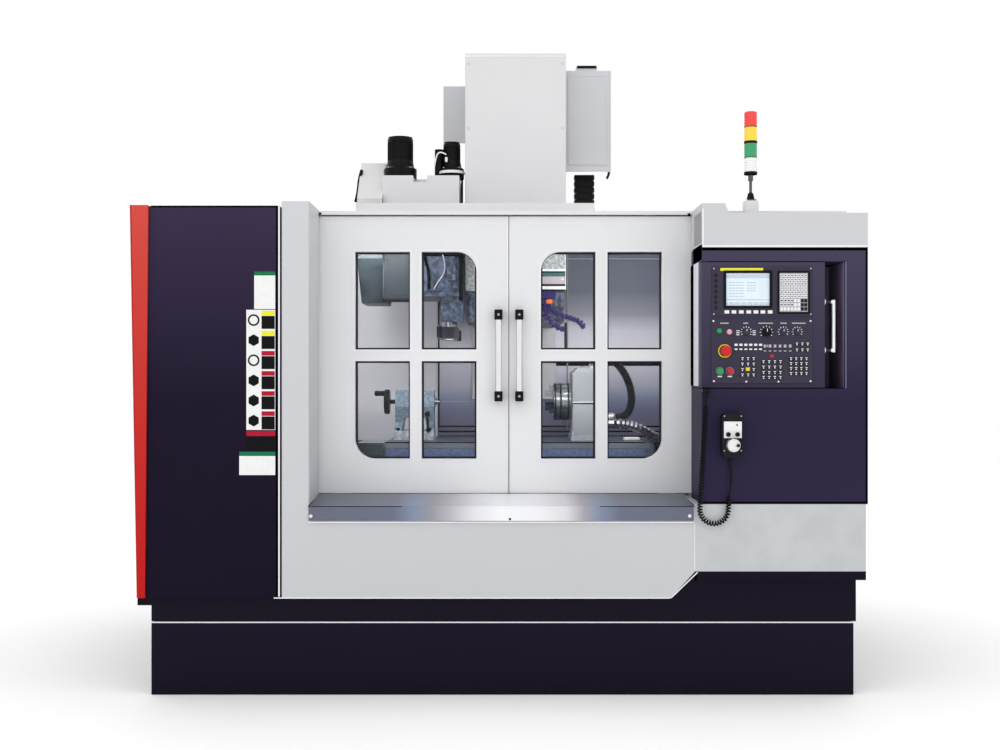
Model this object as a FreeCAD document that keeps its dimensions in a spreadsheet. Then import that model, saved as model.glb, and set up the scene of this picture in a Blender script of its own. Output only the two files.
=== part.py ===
import FreeCAD, Part
import math
import os
from types import SimpleNamespace

import Sketcher

# CNC machining centre: C-frame vertical mill in a full enclosure, with twin sliding doors, an arm-type
# tool changer, a rotary table and tailstock on the table, a swing-out console and a hand wheel pendant.
# Frame: X to the right seen from the operator, Y to the back, Z up. The origin is on the floor under the
# middle of the machine's bounding box. All sizes are in millimetres.

SIZES = {
    # overall planes
    "front_y": -1170, "door_y": -870, "back_y": 690, "left_x": -1441, "right_x": 1505,
    "sheet": 10, "thin": 5, "plinth_front_y": -1160, "skirt_low": 300, "panel_low": 395,
    "axis_x": 76, "axis_y": -220,
    # coolant tank and skirt
    "tank_left": -1420, "tank_right": 1449, "tank_back": -440, "tank_top": 292, "tank_wall": 8,
    "skirt_right": 1459, "skirt_rear_front": -430, "step_low": 469, "step_high": 505, "step_left": 700,
    # bed and column
    "bed_low": 330, "bed_top": 655, "bed_half": 415, "bed_front": -760, "bed_rear": 880,
    "leg_width": 150, "foot_radius": 60, "foot_height": 40,
    "column_front": 420, "column_top": 2480, "column_base_half": 420, "column_waist_half": 330,
    "column_head_half": 255, "column_tip_half": 215, "column_waist_z": 1100, "column_head_z": 2250,
    "rail_half": 22, "y_rail_offset": 300, "y_rail_top": 699.8, "z_rail_offset": 170, "z_rail_front": 385,
    "screw_radius": 18, "z_screw_y": 358, "z_screw_low": 1285,
    # enclosure
    "left_top": 1995, "panel_inner": -894, "box_back": -885, "rail_gap_y": -812,
    "trim_low": 398, "trim_top": 1998, "trim_front": -1182, "trim_back": -1110,
    "trim_out_low": -1477, "trim_out_top": -1505, "trim_in_low": -1441, "trim_in_top": -1428,
    "pillar_left": -887, "pillar_right": -775, "pillar_top": 2015, "apron_top": 765,
    "apron_right": 699, "chamfer_right": 800, "chamfer_top": 505,
    "sill_front": -1176, "sill_low": 712, "sill_fold": 771, "sill_top": 795, "sill_right": 794,
    # control cabinet and its grey panels
    "cabinet_left": 828, "cabinet_low": 779, "cabinet_top": 1836, "fascia_top": 1968,
    "fascia_raised": 2007, "raised_end": 922, "raised_foot": 938, "lower_left": 800, "lower_right": 1497,
    "bay_right": 1412, "bay_back": -925, "bay_gap": 3,
    # doors
    "door_left": -795, "door_meet": 41, "door_gap": 5, "door_right": 845, "door_low": 797, "door_top": 1990,
    "door_thick": 45, "pane_low": 944, "pane_split_low": 1366, "pane_split_high": 1416, "pane_high": 1838,
    "left_pane_a": -621, "left_pane_b": -384, "left_pane_c": -334, "left_pane_d": -97,
    "right_pane_a": 181, "right_pane_b": 417, "right_pane_c": 468, "right_pane_d": 704,
    "pane_radius": 86, "glass_thick": 6, "glass_lap": 18,
    "handle_low": 1195, "handle_high": 1584, "handle_half": 14, "handle_standoff": 38,
    "handle_depth": 20, "mount_height": 40, "mount_half": 16, "left_handle_x": -2, "right_handle_x": 87,
    # moving axes
    "table_left": -522, "table_right": 672, "table_front": -480, "table_rear": 40, "table_top": 997,
    "table_bottom": 907, "slot_pitch": 125, "slot_neck": 9, "slot_neck_depth": 24, "slot_half": 15,
    "slot_depth": 42, "saddle_low": 700, "saddle_top": 870, "saddle_half": 430, "saddle_front": -400,
    "saddle_rear": -40, "x_rail_offset": 120, "x_rail_top": 906.8,
    # rotary table, chuck and tailstock
    "work_axis_z": 1177, "chuck_radius": 89, "chuck_face": 262, "chuck_back": 341, "jaw_face": 221,
    "rotary_left": 347, "rotary_right": 505, "rotary_foot_right": 470, "rotary_low": 1140,
    "rotary_top": 1340, "rotary_front": -340, "rotary_rear": -100,
    "tail_left": -497, "tail_right": -311, "tail_top": 1215, "tail_base": 1040, "tail_half": 62,
    "quill_radius": 25, "quill_bore": 25.05, "wheel_radius": 57, "wheel_shaft": 10, "wheel_bore": 10.05,
    # head and spindle
    "head_left": -157, "head_right": 310, "head_front": -470, "head_rear": 250, "head_top": 2794,
    "head_low": 1700, "head_sheet": 8, "chin_low": 1551, "chin_front": -455, "chin_rear": -60,
    "chin_half": 226, "casting_half": 190, "casting_top": 2200, "spindle_radius": 55,
    "spindle_bore": 55.05, "spindle_low": 1536, "spindle_top": 1900,
    # tool changer
    "arm_x": -237.5, "arm_low": 1478, "arm_top": 1528, "arm_reach": 312.5, "arm_shaft_radius": 35,
    "arm_bore": 35.05, "gear_left": -533, "gear_right": -183, "gear_front": -520, "gear_rear": -80,
    "gear_low": 1668, "gear_top": 2222, "drum_left": -648, "drum_right": -535, "drum_y": -220,
    "drum_z": 1975, "drum_radius": 330, "pot_circle": 262, "pot_radius": 28, "drum_hub_radius": 30,
    "drum_hub_bore": 30.05,
    # console
    "console_right": 1331, "console_low": 1253, "console_top": 1767, "console_rear": -935,
    "pivot_x": 843, "pivot_y": -1155, "pivot_radius": 8, "pivot_bore": 8.05,
    "screen_left": 869, "screen_right": 1278, "screen_low": 1547, "screen_high": 1747,
    "keys_left": 866, "keys_right": 1278, "keys_low": 1273, "keys_high": 1534, "panel_proud": 4,
    "panel_thick": 12, "stem_radius": 10, "stem_hole": 11,
    # pendant and its cord
    "pendant_left": 902, "pendant_right": 988, "pendant_low": 972, "pendant_high": 1151,
    "pendant_back": -1178, "pendant_front": -1220, "dial_x": 947, "dial_z": 1022, "dial_radius": 28.5,
    "cord_y": -1188, "gland_x": 842, "gland_z": 1228, "wire_radius": 3, "curl_radius": 8.5,
    "curl_pitch": 36.0,
    # signal tower
    "tower_x": 1060, "tower_y": -1000, "tower_radius": 27,
    # electrical cabinet behind the column
    "electric_left": -300, "electric_right": 1100, "electric_front": 880, "electric_rear": 1240,
    "electric_low": 450, "electric_top": 1950, "rear_y": 1250,
}

doc = FreeCAD.newDocument("MachiningCentre")
sheet = doc.addObject("Spreadsheet::Sheet", "Sizes")
for row, (name, size) in enumerate(SIZES.items(), start=1):
    sheet.set(f"A{row}", name)
    sheet.set(f"B{row}", str(size))
    sheet.setAlias(f"B{row}", name)
doc.recompute()


class Dim:
    """A size that knows its value in millimetres and the sheet expression that gives it."""

    def __init__(self, value, text):
        self.value = float(value)
        self.text = text

    def __add__(self, other):
        return Dim(self.value + value(other), f"({self.text} + {text(other)})")

    def __radd__(self, other):
        return Dim(value(other) + self.value, f"({text(other)} + {self.text})")

    def __sub__(self, other):
        return Dim(self.value - value(other), f"({self.text} - {text(other)})")

    def __rsub__(self, other):
        return Dim(value(other) - self.value, f"({text(other)} - {self.text})")

    def __mul__(self, factor):
        return Dim(self.value * value(factor), f"({self.text} * {text(factor)})")

    __rmul__ = __mul__

    def __truediv__(self, factor):
        return Dim(self.value / value(factor), f"({self.text} / {text(factor)})")

    def __neg__(self):
        return Dim(-self.value, f"(0 - {self.text})")


def value(size):
    return size.value if isinstance(size, Dim) else float(size)


def text(size):
    return size.text if isinstance(size, Dim) else f"({float(size)!r})"


S = SimpleNamespace(**{name: Dim(sheet.get(name), f"Sizes.{name}") for name in SIZES})
nodes = []


# ---------------------------------------------------------------- building helpers

def bind(feature, prop, size):
    """Set a property of a feature by an expression, so that it follows the sheet."""
    feature.setExpression(prop, text(size))


def node(name, feature):
    """Name a finished sub-part and put it on the list of those that are written out."""
    feature.Label = name
    nodes.append(feature)
    return feature


def block(label, x, y, z):
    """A rectangular block between two planes along each axis."""
    box = doc.addObject("Part::Box", label)
    for prop, axis, (low, high) in (("Length", "x", x), ("Width", "y", y), ("Height", "z", z)):
        bind(box, prop, high - low if isinstance(high, Dim) or isinstance(low, Dim) else float(high - low))
        bind(box, f"Placement.Base.{axis}", low)
    return box


TURNS = {
    "x": FreeCAD.Rotation(FreeCAD.Vector(0, 1, 0), 90),
    "y": FreeCAD.Rotation(FreeCAD.Vector(1, 0, 0), -90),
    "z": FreeCAD.Rotation(),
}


def rod(label, axis, place, radius, low, high, tip=None):
    """A round bar along x, y or z from low to high, or a cone if it has a tip radius.

    place gives the other two coordinates in X, Y, Z order.
    """
    bar = doc.addObject("Part::Cylinder" if tip is None else "Part::Cone", label)
    bar.Placement.Rotation = TURNS[axis]
    if tip is None:
        bind(bar, "Radius", radius)
    else:
        bind(bar, "Radius1", radius)
        bind(bar, "Radius2", tip)
    bind(bar, "Height", high - low)
    base = dict(zip([a for a in "xyz" if a != axis], place))
    base[axis] = low
    for name, size in base.items():
        bind(bar, f"Placement.Base.{name}", size)
    return bar


def fuse(label, *pieces):
    joined = doc.addObject("Part::MultiFuse", label)
    joined.Shapes = list(pieces)
    return joined


def cut(label, base, *tools):
    result = doc.addObject("Part::Cut", label)
    result.Base = base
    result.Tool = tools[0] if len(tools) == 1 else fuse(label + "_tools", *tools)
    return result


def group(label, *pieces):
    """Separate solids that share one node."""
    together = doc.addObject("Part::Compound", label)
    together.Links = list(pieces)
    return together


def outline_sketch(body, plane, offset, outline):
    """Sketch a closed outline of straight lines on an origin plane, with every corner placed by the sheet."""
    sketch = body.newObject("Sketcher::SketchObject", "Sketch")
    origin_plane = next(f for f in body.Origin.OriginFeatures if f.Role == f"{plane}_Plane")
    sketch.AttachmentSupport = (origin_plane, [""])
    sketch.MapMode = "FlatFace"
    bind(sketch, "AttachmentOffset.Base.z", offset)
    corners = [FreeCAD.Vector(value(a), value(b), 0) for a, b in outline]
    count = len(corners)
    for i, corner in enumerate(corners):
        sketch.addGeometry(Part.LineSegment(corner, corners[(i + 1) % count]))
    for i in range(count):
        sketch.addConstraint(Sketcher.Constraint("Coincident", i, 2, (i + 1) % count, 1))
    for i, corner in enumerate(outline):
        for kind, size in zip(("DistanceX", "DistanceY"), corner):
            number = sketch.addConstraint(Sketcher.Constraint(kind, -1, 1, i, 1, value(size)))
            if isinstance(size, Dim):
                sketch.setExpression(f"Constraints[{number}]", size.text)
    return sketch


def pad(body, plane, outline, low, high):
    """Add an outline's prism between two coordinates. The XZ plane's own normal points to -Y."""
    offset = -high if plane == "XZ" else low
    sketch = outline_sketch(body, plane, offset, outline)
    feature = body.newObject("PartDesign::Pad", "Pad")
    feature.Profile = sketch
    bind(feature, "Length", high - low)
    return feature


def pocket(body, plane, outline, low, high):
    """Take an outline's prism away between two coordinates, and check that it cut."""
    offset = -low if plane == "XZ" else high
    before = body.Shape.Volume if body.Tip else 0
    sketch = outline_sketch(body, plane, offset, outline)
    feature = body.newObject("PartDesign::Pocket", "Pocket")
    feature.Profile = sketch
    bind(feature, "Length", high - low)
    doc.recompute()
    if body.Shape.Volume > before - 1:
        raise RuntimeError(f"a pocket of {body.Label} cuts nothing")
    return feature


def body_of(label, plane, outline, low, high):
    """A body that starts as one prism."""
    body = doc.addObject("PartDesign::Body", label)
    pad(body, plane, outline, low, high)
    doc.recompute()
    return body


def dress(body, kind, size, wanted):
    """Round or chamfer the edges of the body's last feature that the test picks by their middle and direction."""
    base, names = body.Tip, []
    for i, edge in enumerate(base.Shape.Edges, start=1):
        ends = [v.Point for v in edge.Vertexes]
        if len(ends) == 2:
            along = ends[1] - ends[0]
            if along.Length > 0 and wanted((ends[0] + ends[1]) * 0.5, along.normalize()):
                names.append(f"Edge{i}")
    feature = body.newObject(f"PartDesign::{kind}", kind)
    feature.Base = (base, names)
    bind(feature, "Radius" if kind == "Fillet" else "Size", size)
    doc.recompute()
    return feature


def rect(x, z):
    return [(x[0], z[0]), (x[1], z[0]), (x[1], z[1]), (x[0], z[1])]


def inset(low, high, wall):
    return low + wall, high - wall


def polygon(centre, radius, sides):
    """Corners of a regular outline, for grips and knobs with flats."""
    return [(centre[0] + radius * math.cos(math.tau * k / sides), centre[1] + radius * math.sin(math.tau * k / sides))
            for k in range(sides)]


# ---------------------------------------------------------------- base, bed and column

def make_tank():
    """Open coolant tank across the front, under the bed's overhang."""
    outer = block("tank_outer", (S.tank_left, S.tank_right), (S.plinth_front_y, S.tank_back), (0, S.tank_top))
    inner = block("tank_inner", inset(S.tank_left, S.tank_right, S.tank_wall),
                  inset(S.plinth_front_y, S.tank_back, S.tank_wall), (S.tank_wall, S.tank_top + 1))
    node("coolant_tank", cut("tank", outer, inner))


def make_skirt():
    """Sheet skirt that closes the base: front strip with its raised right end, sides, rear and two ledges."""
    front = body_of("skirt_front", "XZ", [
        (S.tank_left, S.skirt_low), (S.skirt_right, S.skirt_low), (S.skirt_right, S.step_low),
        (S.step_left + 70, S.step_low), (S.step_left + 2, S.panel_low), (S.tank_left, S.panel_low)],
        S.plinth_front_y, S.plinth_front_y + S.sheet)
    side = [(S.plinth_front_y + S.sheet, S.skirt_low), (S.skirt_rear_front, S.skirt_low),
            (S.skirt_rear_front, 0), (S.back_y, 0), (S.back_y, S.panel_low),
            (S.plinth_front_y + S.sheet, S.panel_low)]
    left = body_of("skirt_left", "YZ", side, S.tank_left, S.tank_left + S.sheet)
    right = body_of("skirt_right_side", "YZ", side, S.skirt_right - S.sheet, S.skirt_right)
    rear = body_of("skirt_rear", "XZ", [
        (S.tank_left + S.sheet, 0), (S.skirt_right - S.sheet, 0), (S.skirt_right - S.sheet, S.panel_low),
        (S.axis_x + S.bed_half + 10, S.panel_low), (S.axis_x + S.bed_half + 10, S.bed_low - 10),
        (S.axis_x - S.bed_half - 10, S.bed_low - 10), (S.axis_x - S.bed_half - 10, S.panel_low),
        (S.tank_left + S.sheet, S.panel_low)], S.back_y - S.sheet, S.back_y)
    ledge = block("skirt_ledge", (S.lower_left, S.lower_right + 1), (S.plinth_front_y - 8, S.box_back),
                  (S.step_low, S.step_high))
    toe = block("trim_toe", (S.trim_out_low, S.tank_left), (S.plinth_front_y, S.trim_back),
                (S.trim_low - 33, S.panel_low))
    node("bed_skirt", fuse("skirt", front, left, right, rear, ledge, toe))


def make_bed():
    """Bed casting with cored sides, rail seats, six legs and their levelling feet."""
    left, right = S.axis_x - S.bed_half, S.axis_x + S.bed_half
    body = body_of("bed_body", "XZ", rect((left, right), (S.bed_low, S.bed_top)), S.bed_front, S.bed_rear)
    for bay in range(4):
        start = S.bed_front + 70 + bay * 390
        pocket(body, "YZ", rect((start, start + 270), (S.bed_low + 60, S.bed_top - 70)), right - 90, right)
        pocket(body, "YZ", rect((start, start + 270), (S.bed_low + 60, S.bed_top - 70)), left, left + 90)
    seats = [block(f"rail_seat_{i}", (S.axis_x + side * S.y_rail_offset - 45, S.axis_x + side * S.y_rail_offset + 45),
                   (S.bed_front, S.column_front), (S.bed_top, S.bed_top + 15))
             for i, side in enumerate((-1, 1))]
    legs = []
    for i, (along, across) in enumerate((y, x) for y in (-400, 700) for x in (-1, 1)):
        middle = S.axis_x + across * (S.bed_half - 90)
        legs.append(block(f"leg_{i}", (middle - S.leg_width / 2, middle + S.leg_width / 2),
                          (along, along + S.leg_width), (S.foot_height, S.bed_low)))
        legs.append(rod(f"foot_{i}", "z", (middle, along + S.leg_width / 2), S.foot_radius, 0, S.foot_height))
    node("machine_bed", fuse("bed", body, *seats, *legs))


def make_column():
    """Tapered column casting, hollow from behind, on the rear of the bed."""
    half = (S.column_base_half, S.column_waist_half, S.column_head_half, S.column_tip_half)
    height = (S.bed_top, S.column_waist_z, S.column_head_z, S.column_top)
    right = [(S.axis_x + h, z) for h, z in zip(half, height)]
    left = [(S.axis_x - h, z) for h, z in zip(half, height)]
    body = body_of("column_body", "XZ", right + left[::-1], S.column_front, S.bed_rear)
    pocket(body, "YZ", [(S.bed_rear, S.column_head_z - 350), (S.bed_rear, S.column_top),
                        (S.bed_rear - 170, S.column_top)],
           S.axis_x - S.column_base_half, S.axis_x + S.column_base_half)
    pocket(body, "XZ", [(S.axis_x - 300, S.bed_top + 120), (S.axis_x + 300, S.bed_top + 120),
                        (S.axis_x + 170, S.column_head_z - 200), (S.axis_x - 170, S.column_head_z - 200)],
           S.column_front + 60, S.bed_rear)
    node("column", body)


def make_guides():
    """Linear rails of the bed and column, ball screws with end bearings, and their servo motors."""
    pieces = []
    for i, side in enumerate((-1, 1)):
        y_rail = S.axis_x + side * S.y_rail_offset
        z_rail = S.axis_x + side * S.z_rail_offset
        pieces.append(block(f"y_rail_{i}", (y_rail - S.rail_half, y_rail + S.rail_half),
                            (S.bed_front + 20, S.column_front - 40), (S.bed_top + 15, S.y_rail_top)))
        pieces.append(block(f"z_rail_{i}", (z_rail - S.rail_half, z_rail + S.rail_half),
                            (S.z_rail_front, S.column_front), (S.z_screw_low, S.column_top - 40)))
    for name, low in (("low", S.z_screw_low - 20), ("high", S.column_top - 40)):
        pieces.append(block(f"z_bearing_{name}", (S.axis_x - 60, S.axis_x + 60),
                            (S.z_screw_y - 30, S.column_front), (low, low + 20)))
    pieces.append(rod("z_screw", "z", (S.axis_x, S.z_screw_y), S.screw_radius, S.z_screw_low, S.column_top - 40))
    motor = fuse("z_motor",
                 block("z_motor_body", (S.axis_x - 70, S.axis_x + 70), (S.z_screw_y - 70, S.z_screw_y + 70),
                       (S.column_top + 40, S.column_top + 250)),
                 block("z_motor_bracket", (S.axis_x - 90, S.axis_x + 90), (S.z_screw_y - 90, S.column_front + 120),
                       (S.column_top, S.column_top + 40)))
    pieces.append(motor)
    pieces.append(rod("y_screw", "y", (S.axis_x, S.y_rail_top - 12), S.screw_radius, S.bed_front + 40, 380))
    for name, low in (("front", S.bed_front + 20), ("rear", 380)):
        pieces.append(block(f"y_bearing_{name}", (S.axis_x - 50, S.axis_x + 50), (low, low + 20),
                            (S.bed_top, S.y_rail_top + 5)))
    pieces.append(block("y_motor", (S.axis_x - 65, S.axis_x + 65), (S.bed_front - 200, S.bed_front),
                        (S.bed_top - 110, S.bed_top + 20)))
    node("guides_and_screws", group("guides", *pieces))


# ---------------------------------------------------------------- enclosure

def make_left_enclosure():
    """Dark cabinet on the left: a box in front of the door's slot, the outer wall, top and rear returns."""
    shell = cut("left_box",
                block("left_box_outer", (S.left_x, S.panel_inner), (S.front_y, S.box_back), (S.panel_low, S.left_top)),
                block("left_box_inner", inset(S.left_x, S.panel_inner, S.sheet),
                      (S.front_y + S.sheet, S.box_back + 1), inset(S.panel_low, S.left_top, S.sheet)))
    wall = block("left_wall", (S.left_x, S.left_x + S.sheet), (S.box_back, S.back_y), (S.panel_low, S.left_top))
    rear = block("left_rear", (S.left_x + S.sheet, -1208), (S.back_y - S.sheet, S.back_y), (S.panel_low, S.left_top))
    top = block("left_top_cover", (S.left_x + S.sheet, -1208), (S.rail_gap_y + 50, S.back_y - S.sheet),
                (S.left_top - S.sheet, S.left_top))
    node("left_enclosure", fuse("left_cabinet", shell, wall, rear, top))


def make_trim():
    """Tapered corner trim with a rounded outer edge, wider at the top."""
    body = body_of("trim_body", "XZ", [
        (S.trim_out_low, S.trim_low), (S.trim_in_low, S.trim_low), (S.trim_in_top, S.trim_top),
        (S.trim_out_top, S.trim_top)], S.trim_front, S.front_y)
    pad(body, "XZ", [(S.trim_out_low, S.trim_low), (S.trim_in_low, S.trim_low),
                     (S.trim_in_low, S.trim_top), (S.trim_out_top, S.trim_top)], S.front_y, S.trim_back)
    doc.recompute()
    front = value(S.trim_front)
    outer = (value(S.trim_out_low) + value(S.trim_out_top)) / 2
    dress(body, "Fillet", 11.5, lambda middle, along: abs(along.z) > 0.9 and abs(middle.y - front) < 1
          and abs(middle.x - outer) < 15)
    node("corner_trim", body)


def make_front_frame():
    """Folded front: left pillar with its return to the doors, and the apron with its cut corner."""
    outline = [(S.pillar_left, S.panel_low), (S.apron_right, S.panel_low), (S.chamfer_right, S.chamfer_top),
               (S.chamfer_right, S.apron_top), (S.pillar_right, S.apron_top), (S.pillar_right, S.pillar_top),
               (S.pillar_left, S.pillar_top)]
    hollow = [(S.pillar_left + S.sheet, S.panel_low + S.sheet), (S.apron_right - 4, S.panel_low + S.sheet),
              (S.chamfer_right - S.sheet, S.chamfer_top + 4), (S.chamfer_right - S.sheet, S.apron_top - S.sheet),
              (S.pillar_right - S.sheet, S.apron_top - S.sheet), (S.pillar_right - S.sheet, S.pillar_top - S.sheet),
              (S.pillar_left + S.sheet, S.pillar_top - S.sheet)]
    body = body_of("front_body", "XZ", outline, S.front_y, S.box_back)
    pocket(body, "XZ", hollow, S.front_y + S.sheet, S.box_back)
    front = value(S.front_y)
    dress(body, "Fillet", 6, lambda middle, along: abs(along.z) > 0.99 and abs(middle.y - front) < 1
          and middle.x < -700 and middle.z > 900)
    node("front_frame", body)


def make_sill():
    """Stainless drip sill, folded from one sheet: front face, sloped top and rear lip under the doors."""
    low_rear = S.box_back - 2
    body = body_of("sill_body", "YZ", [
        (S.sill_front, S.sill_low), (S.sill_front + S.thin, S.sill_low), (S.sill_front + S.thin, S.sill_fold - 6),
        (low_rear, S.sill_top - 6), (low_rear, S.apron_top), (low_rear + S.thin, S.apron_top),
        (low_rear + S.thin, S.sill_top), (S.sill_front, S.sill_fold)], S.pillar_right, S.sill_right)
    node("sill_cover", body)


def make_door_rails():
    """Header beam with its guide channel over the doors, a guard strip on top, and the lower rail."""
    ends = (S.left_x + S.sheet, S.right_x - S.sheet)
    inner = (S.rail_gap_y, S.rail_gap_y + 50)
    beam = block("header_beam", ends, inner, (1960, 2012))
    cap = block("header_cap", ends, (S.box_back, S.rail_gap_y), (S.door_top + 6, 2012))
    foot = block("guard_foot", (-643, 427), (S.rail_gap_y + 50, -636), (1996, 2000))
    guard = block("guard_strip", (-643, 427), (-640, -636), (2000, 2079))
    rail_front, rail_back = S.door_y + 2, S.door_y + 43
    bottom = block("bottom_beam", ends, (rail_front, rail_back), (740, S.door_low - 17))
    ridge = block("bottom_ridge", ends, (S.door_y + 20, S.door_y + 25), (S.door_low - 17, S.door_low - 4))
    node("door_rails", group("rails", fuse("top_rail", beam, cap, foot, guard), fuse("low_rail", bottom, ridge)))


def make_control_cabinet():
    """Dark cabinet front with the open bay that the console swings out of."""
    body = body_of("cabinet_body", "XZ", rect((S.cabinet_left, S.right_x), (S.cabinet_low, S.cabinet_top)),
                   S.front_y, S.box_back)
    pocket(body, "XZ", rect((S.cabinet_left, S.bay_right), (S.console_low - S.bay_gap, S.console_top + S.bay_gap)),
           S.front_y, S.bay_back)
    pocket(body, "XZ", rect(inset(S.cabinet_left, S.right_x, S.sheet), (S.cabinet_low + S.sheet, S.console_low - 20)),
           S.front_y + S.sheet, S.box_back)
    pocket(body, "XZ", rect((S.bay_right + S.sheet, S.right_x - S.sheet),
                            (S.console_low - 20, S.cabinet_top - S.sheet)), S.front_y + S.sheet, S.box_back)
    pins = rod("pivot_hole", "z", (S.pivot_x, S.pivot_y), S.pivot_bore, S.console_low - 20, S.console_top + 20)
    node("control_cabinet", cut("cabinet", body, pins))


def make_cabinet_panels():
    """Grey fascia with its raised end over the dark cabinet, and the grey lower panel."""
    fascia = body_of("fascia", "XZ", [
        (S.cabinet_left, S.cabinet_top), (S.right_x, S.cabinet_top), (S.right_x, S.fascia_top),
        (S.raised_foot, S.fascia_top), (S.raised_end, S.fascia_raised), (S.cabinet_left, S.fascia_raised)],
        S.front_y, S.box_back)
    pocket(fascia, "XZ", rect(inset(S.cabinet_left, S.right_x, S.sheet),
                              inset(S.cabinet_top, S.fascia_top, S.sheet)), S.front_y + S.sheet, S.box_back)
    lower = cut("lower_panel",
                block("lower_outer", (S.lower_left, S.lower_right), (S.front_y, S.box_back),
                      (S.chamfer_top, S.cabinet_low)),
                block("lower_inner", inset(S.lower_left, S.lower_right, S.sheet),
                      (S.front_y + S.sheet, S.box_back + 1), inset(S.chamfer_top, S.cabinet_low, S.sheet)))
    node("cabinet_panels", group("panels", fascia, lower))


def make_right_enclosure():
    """Outer wall on the right with its rear return and top."""
    wall = block("right_wall", (S.right_x - S.sheet, S.right_x), (S.box_back, S.back_y), (S.panel_low, S.fascia_top))
    rear = block("right_rear", (1338, S.right_x - S.sheet), (S.back_y - S.sheet, S.back_y), (S.panel_low, S.fascia_top))
    top = block("right_top_cover", (1338, S.right_x - S.sheet), (S.rail_gap_y + 50, S.back_y - S.sheet),
                (S.fascia_top - S.sheet, S.fascia_top))
    node("right_enclosure", fuse("right_cabinet", wall, rear, top))


def make_splash_walls():
    """Stainless lining of the work space: back wall with the head's opening, a painted guard over its left
    part, three drip ledges, side walls, floors either side of the bed and a low front wall."""
    back = cut("back_wall",
               block("back_sheet", (-1200, 1330), (330, 338), (646, 1960)),
               block("head_opening", (S.axis_x - 210, S.axis_x + 210), (320, 345), (1240, 1970)),
               block("cover_opening", (S.axis_x - S.bed_half - 20, S.axis_x + S.bed_half + 20), (320, 345),
                     (640, 730)))
    ledges = [block(f"ledge_{i}", (-321, 1330), (330 - 4 * (3 - i), 330), (958 + 26 * i, 980 + 26 * i))
              for i in range(3)]
    left = block("lining_left", (-1208, -1200), (S.rail_gap_y, 338), (640, 1960))
    right = block("lining_right", (1330, 1338), (S.rail_gap_y, 338), (640, 1960))
    floor_left = block("floor_left", (-1200, S.axis_x - S.bed_half - 5), (S.rail_gap_y, 338), (640, 646))
    floor_right = block("floor_right", (S.axis_x + S.bed_half + 5, 1330), (S.rail_gap_y, 338), (640, 646))
    front = block("front_lip", (-1208, 1338), (-818, S.rail_gap_y), (726, 790))
    guard = block("back_guard", (-1200, -321), (312, 320), (736, 1960))
    spacers = [block(f"guard_spacer_{i}", (x, x + 30), (320, 330), (z, z + 30))
               for i, (x, z) in enumerate((x, z) for x in (-1100, -400) for z in (800, 1300, 1850))]
    node("splash_walls", fuse("lining", back, *ledges, left, right, floor_left, floor_right, front, guard,
                              *spacers))


# ---------------------------------------------------------------- doors

def make_door(side, x, panes):
    """One sliding leaf: a folded panel with four panes, the group's two far corners rounded, roller shoes
    below, the glass behind it and the pull handle in front."""
    y = (S.door_y, S.door_y + S.door_thick)
    body = body_of(f"{side}_leaf", "XZ", rect(x, (S.door_low, S.door_top)), *y)
    rows = ((S.pane_low, S.pane_split_low), (S.pane_split_high, S.pane_high))
    for columns in (panes[:2], panes[2:]):
        for row in rows:
            pocket(body, "XZ", rect(columns, row), *y)
    bottom_corner, top_corner = (panes[0], panes[3]) if side == "left" else (panes[3], panes[0])
    spots = [(value(bottom_corner), value(S.pane_low)), (value(top_corner), value(S.pane_high))]
    dress(body, "Fillet", S.pane_radius, lambda middle, along: abs(along.y) > 0.99 and any(
        abs(middle.x - a) < 1 and abs(middle.z - b) < 1 for a, b in spots))
    shoes = []
    for i, middle in enumerate((x[0] + 120, x[1] - 120)):
        for j, near in enumerate((S.door_y + 9, S.door_y + 26)):
            shoes.append(block(f"{side}_shoe_{i}{j}", (middle - 40, middle + 40), (near, near + 10),
                               (S.door_low - 16, S.door_low)))
    node(f"{side}_door_panel", fuse(f"{side}_panel", body, *shoes))

    lap = S.glass_lap
    glass = body_of(f"{side}_glass", "XZ", rect((panes[0] - lap, panes[3] + lap),
                                               (S.pane_low - lap, S.pane_high + lap)),
                    S.door_y + S.door_thick, S.door_y + S.door_thick + S.glass_thick)
    node(f"{side}_door_windows", glass)


def make_door_handle(side, middle):
    """Pull bar on two stand-off mounts."""
    bar_y = S.door_y - S.handle_standoff - S.handle_depth
    body = body_of(f"{side}_pull", "XZ", rect((middle - S.handle_half, middle + S.handle_half),
                                             (S.handle_low + 6, S.handle_high - 6)),
                   bar_y, bar_y + S.handle_depth)
    front = value(bar_y)
    dress(body, "Fillet", 9, lambda at, along: abs(along.z) > 0.99 and abs(at.y - front) < 1)
    mounts = [block(f"{side}_mount_{i}", (middle - S.mount_half, middle + S.mount_half), (bar_y + 4, S.door_y),
                    (low, low + S.mount_height))
              for i, low in enumerate((S.handle_low, S.handle_high - S.mount_height))]
    node(f"{side}_door_handle", fuse(f"{side}_handle", body, *mounts))


# ---------------------------------------------------------------- saddle and table

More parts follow.
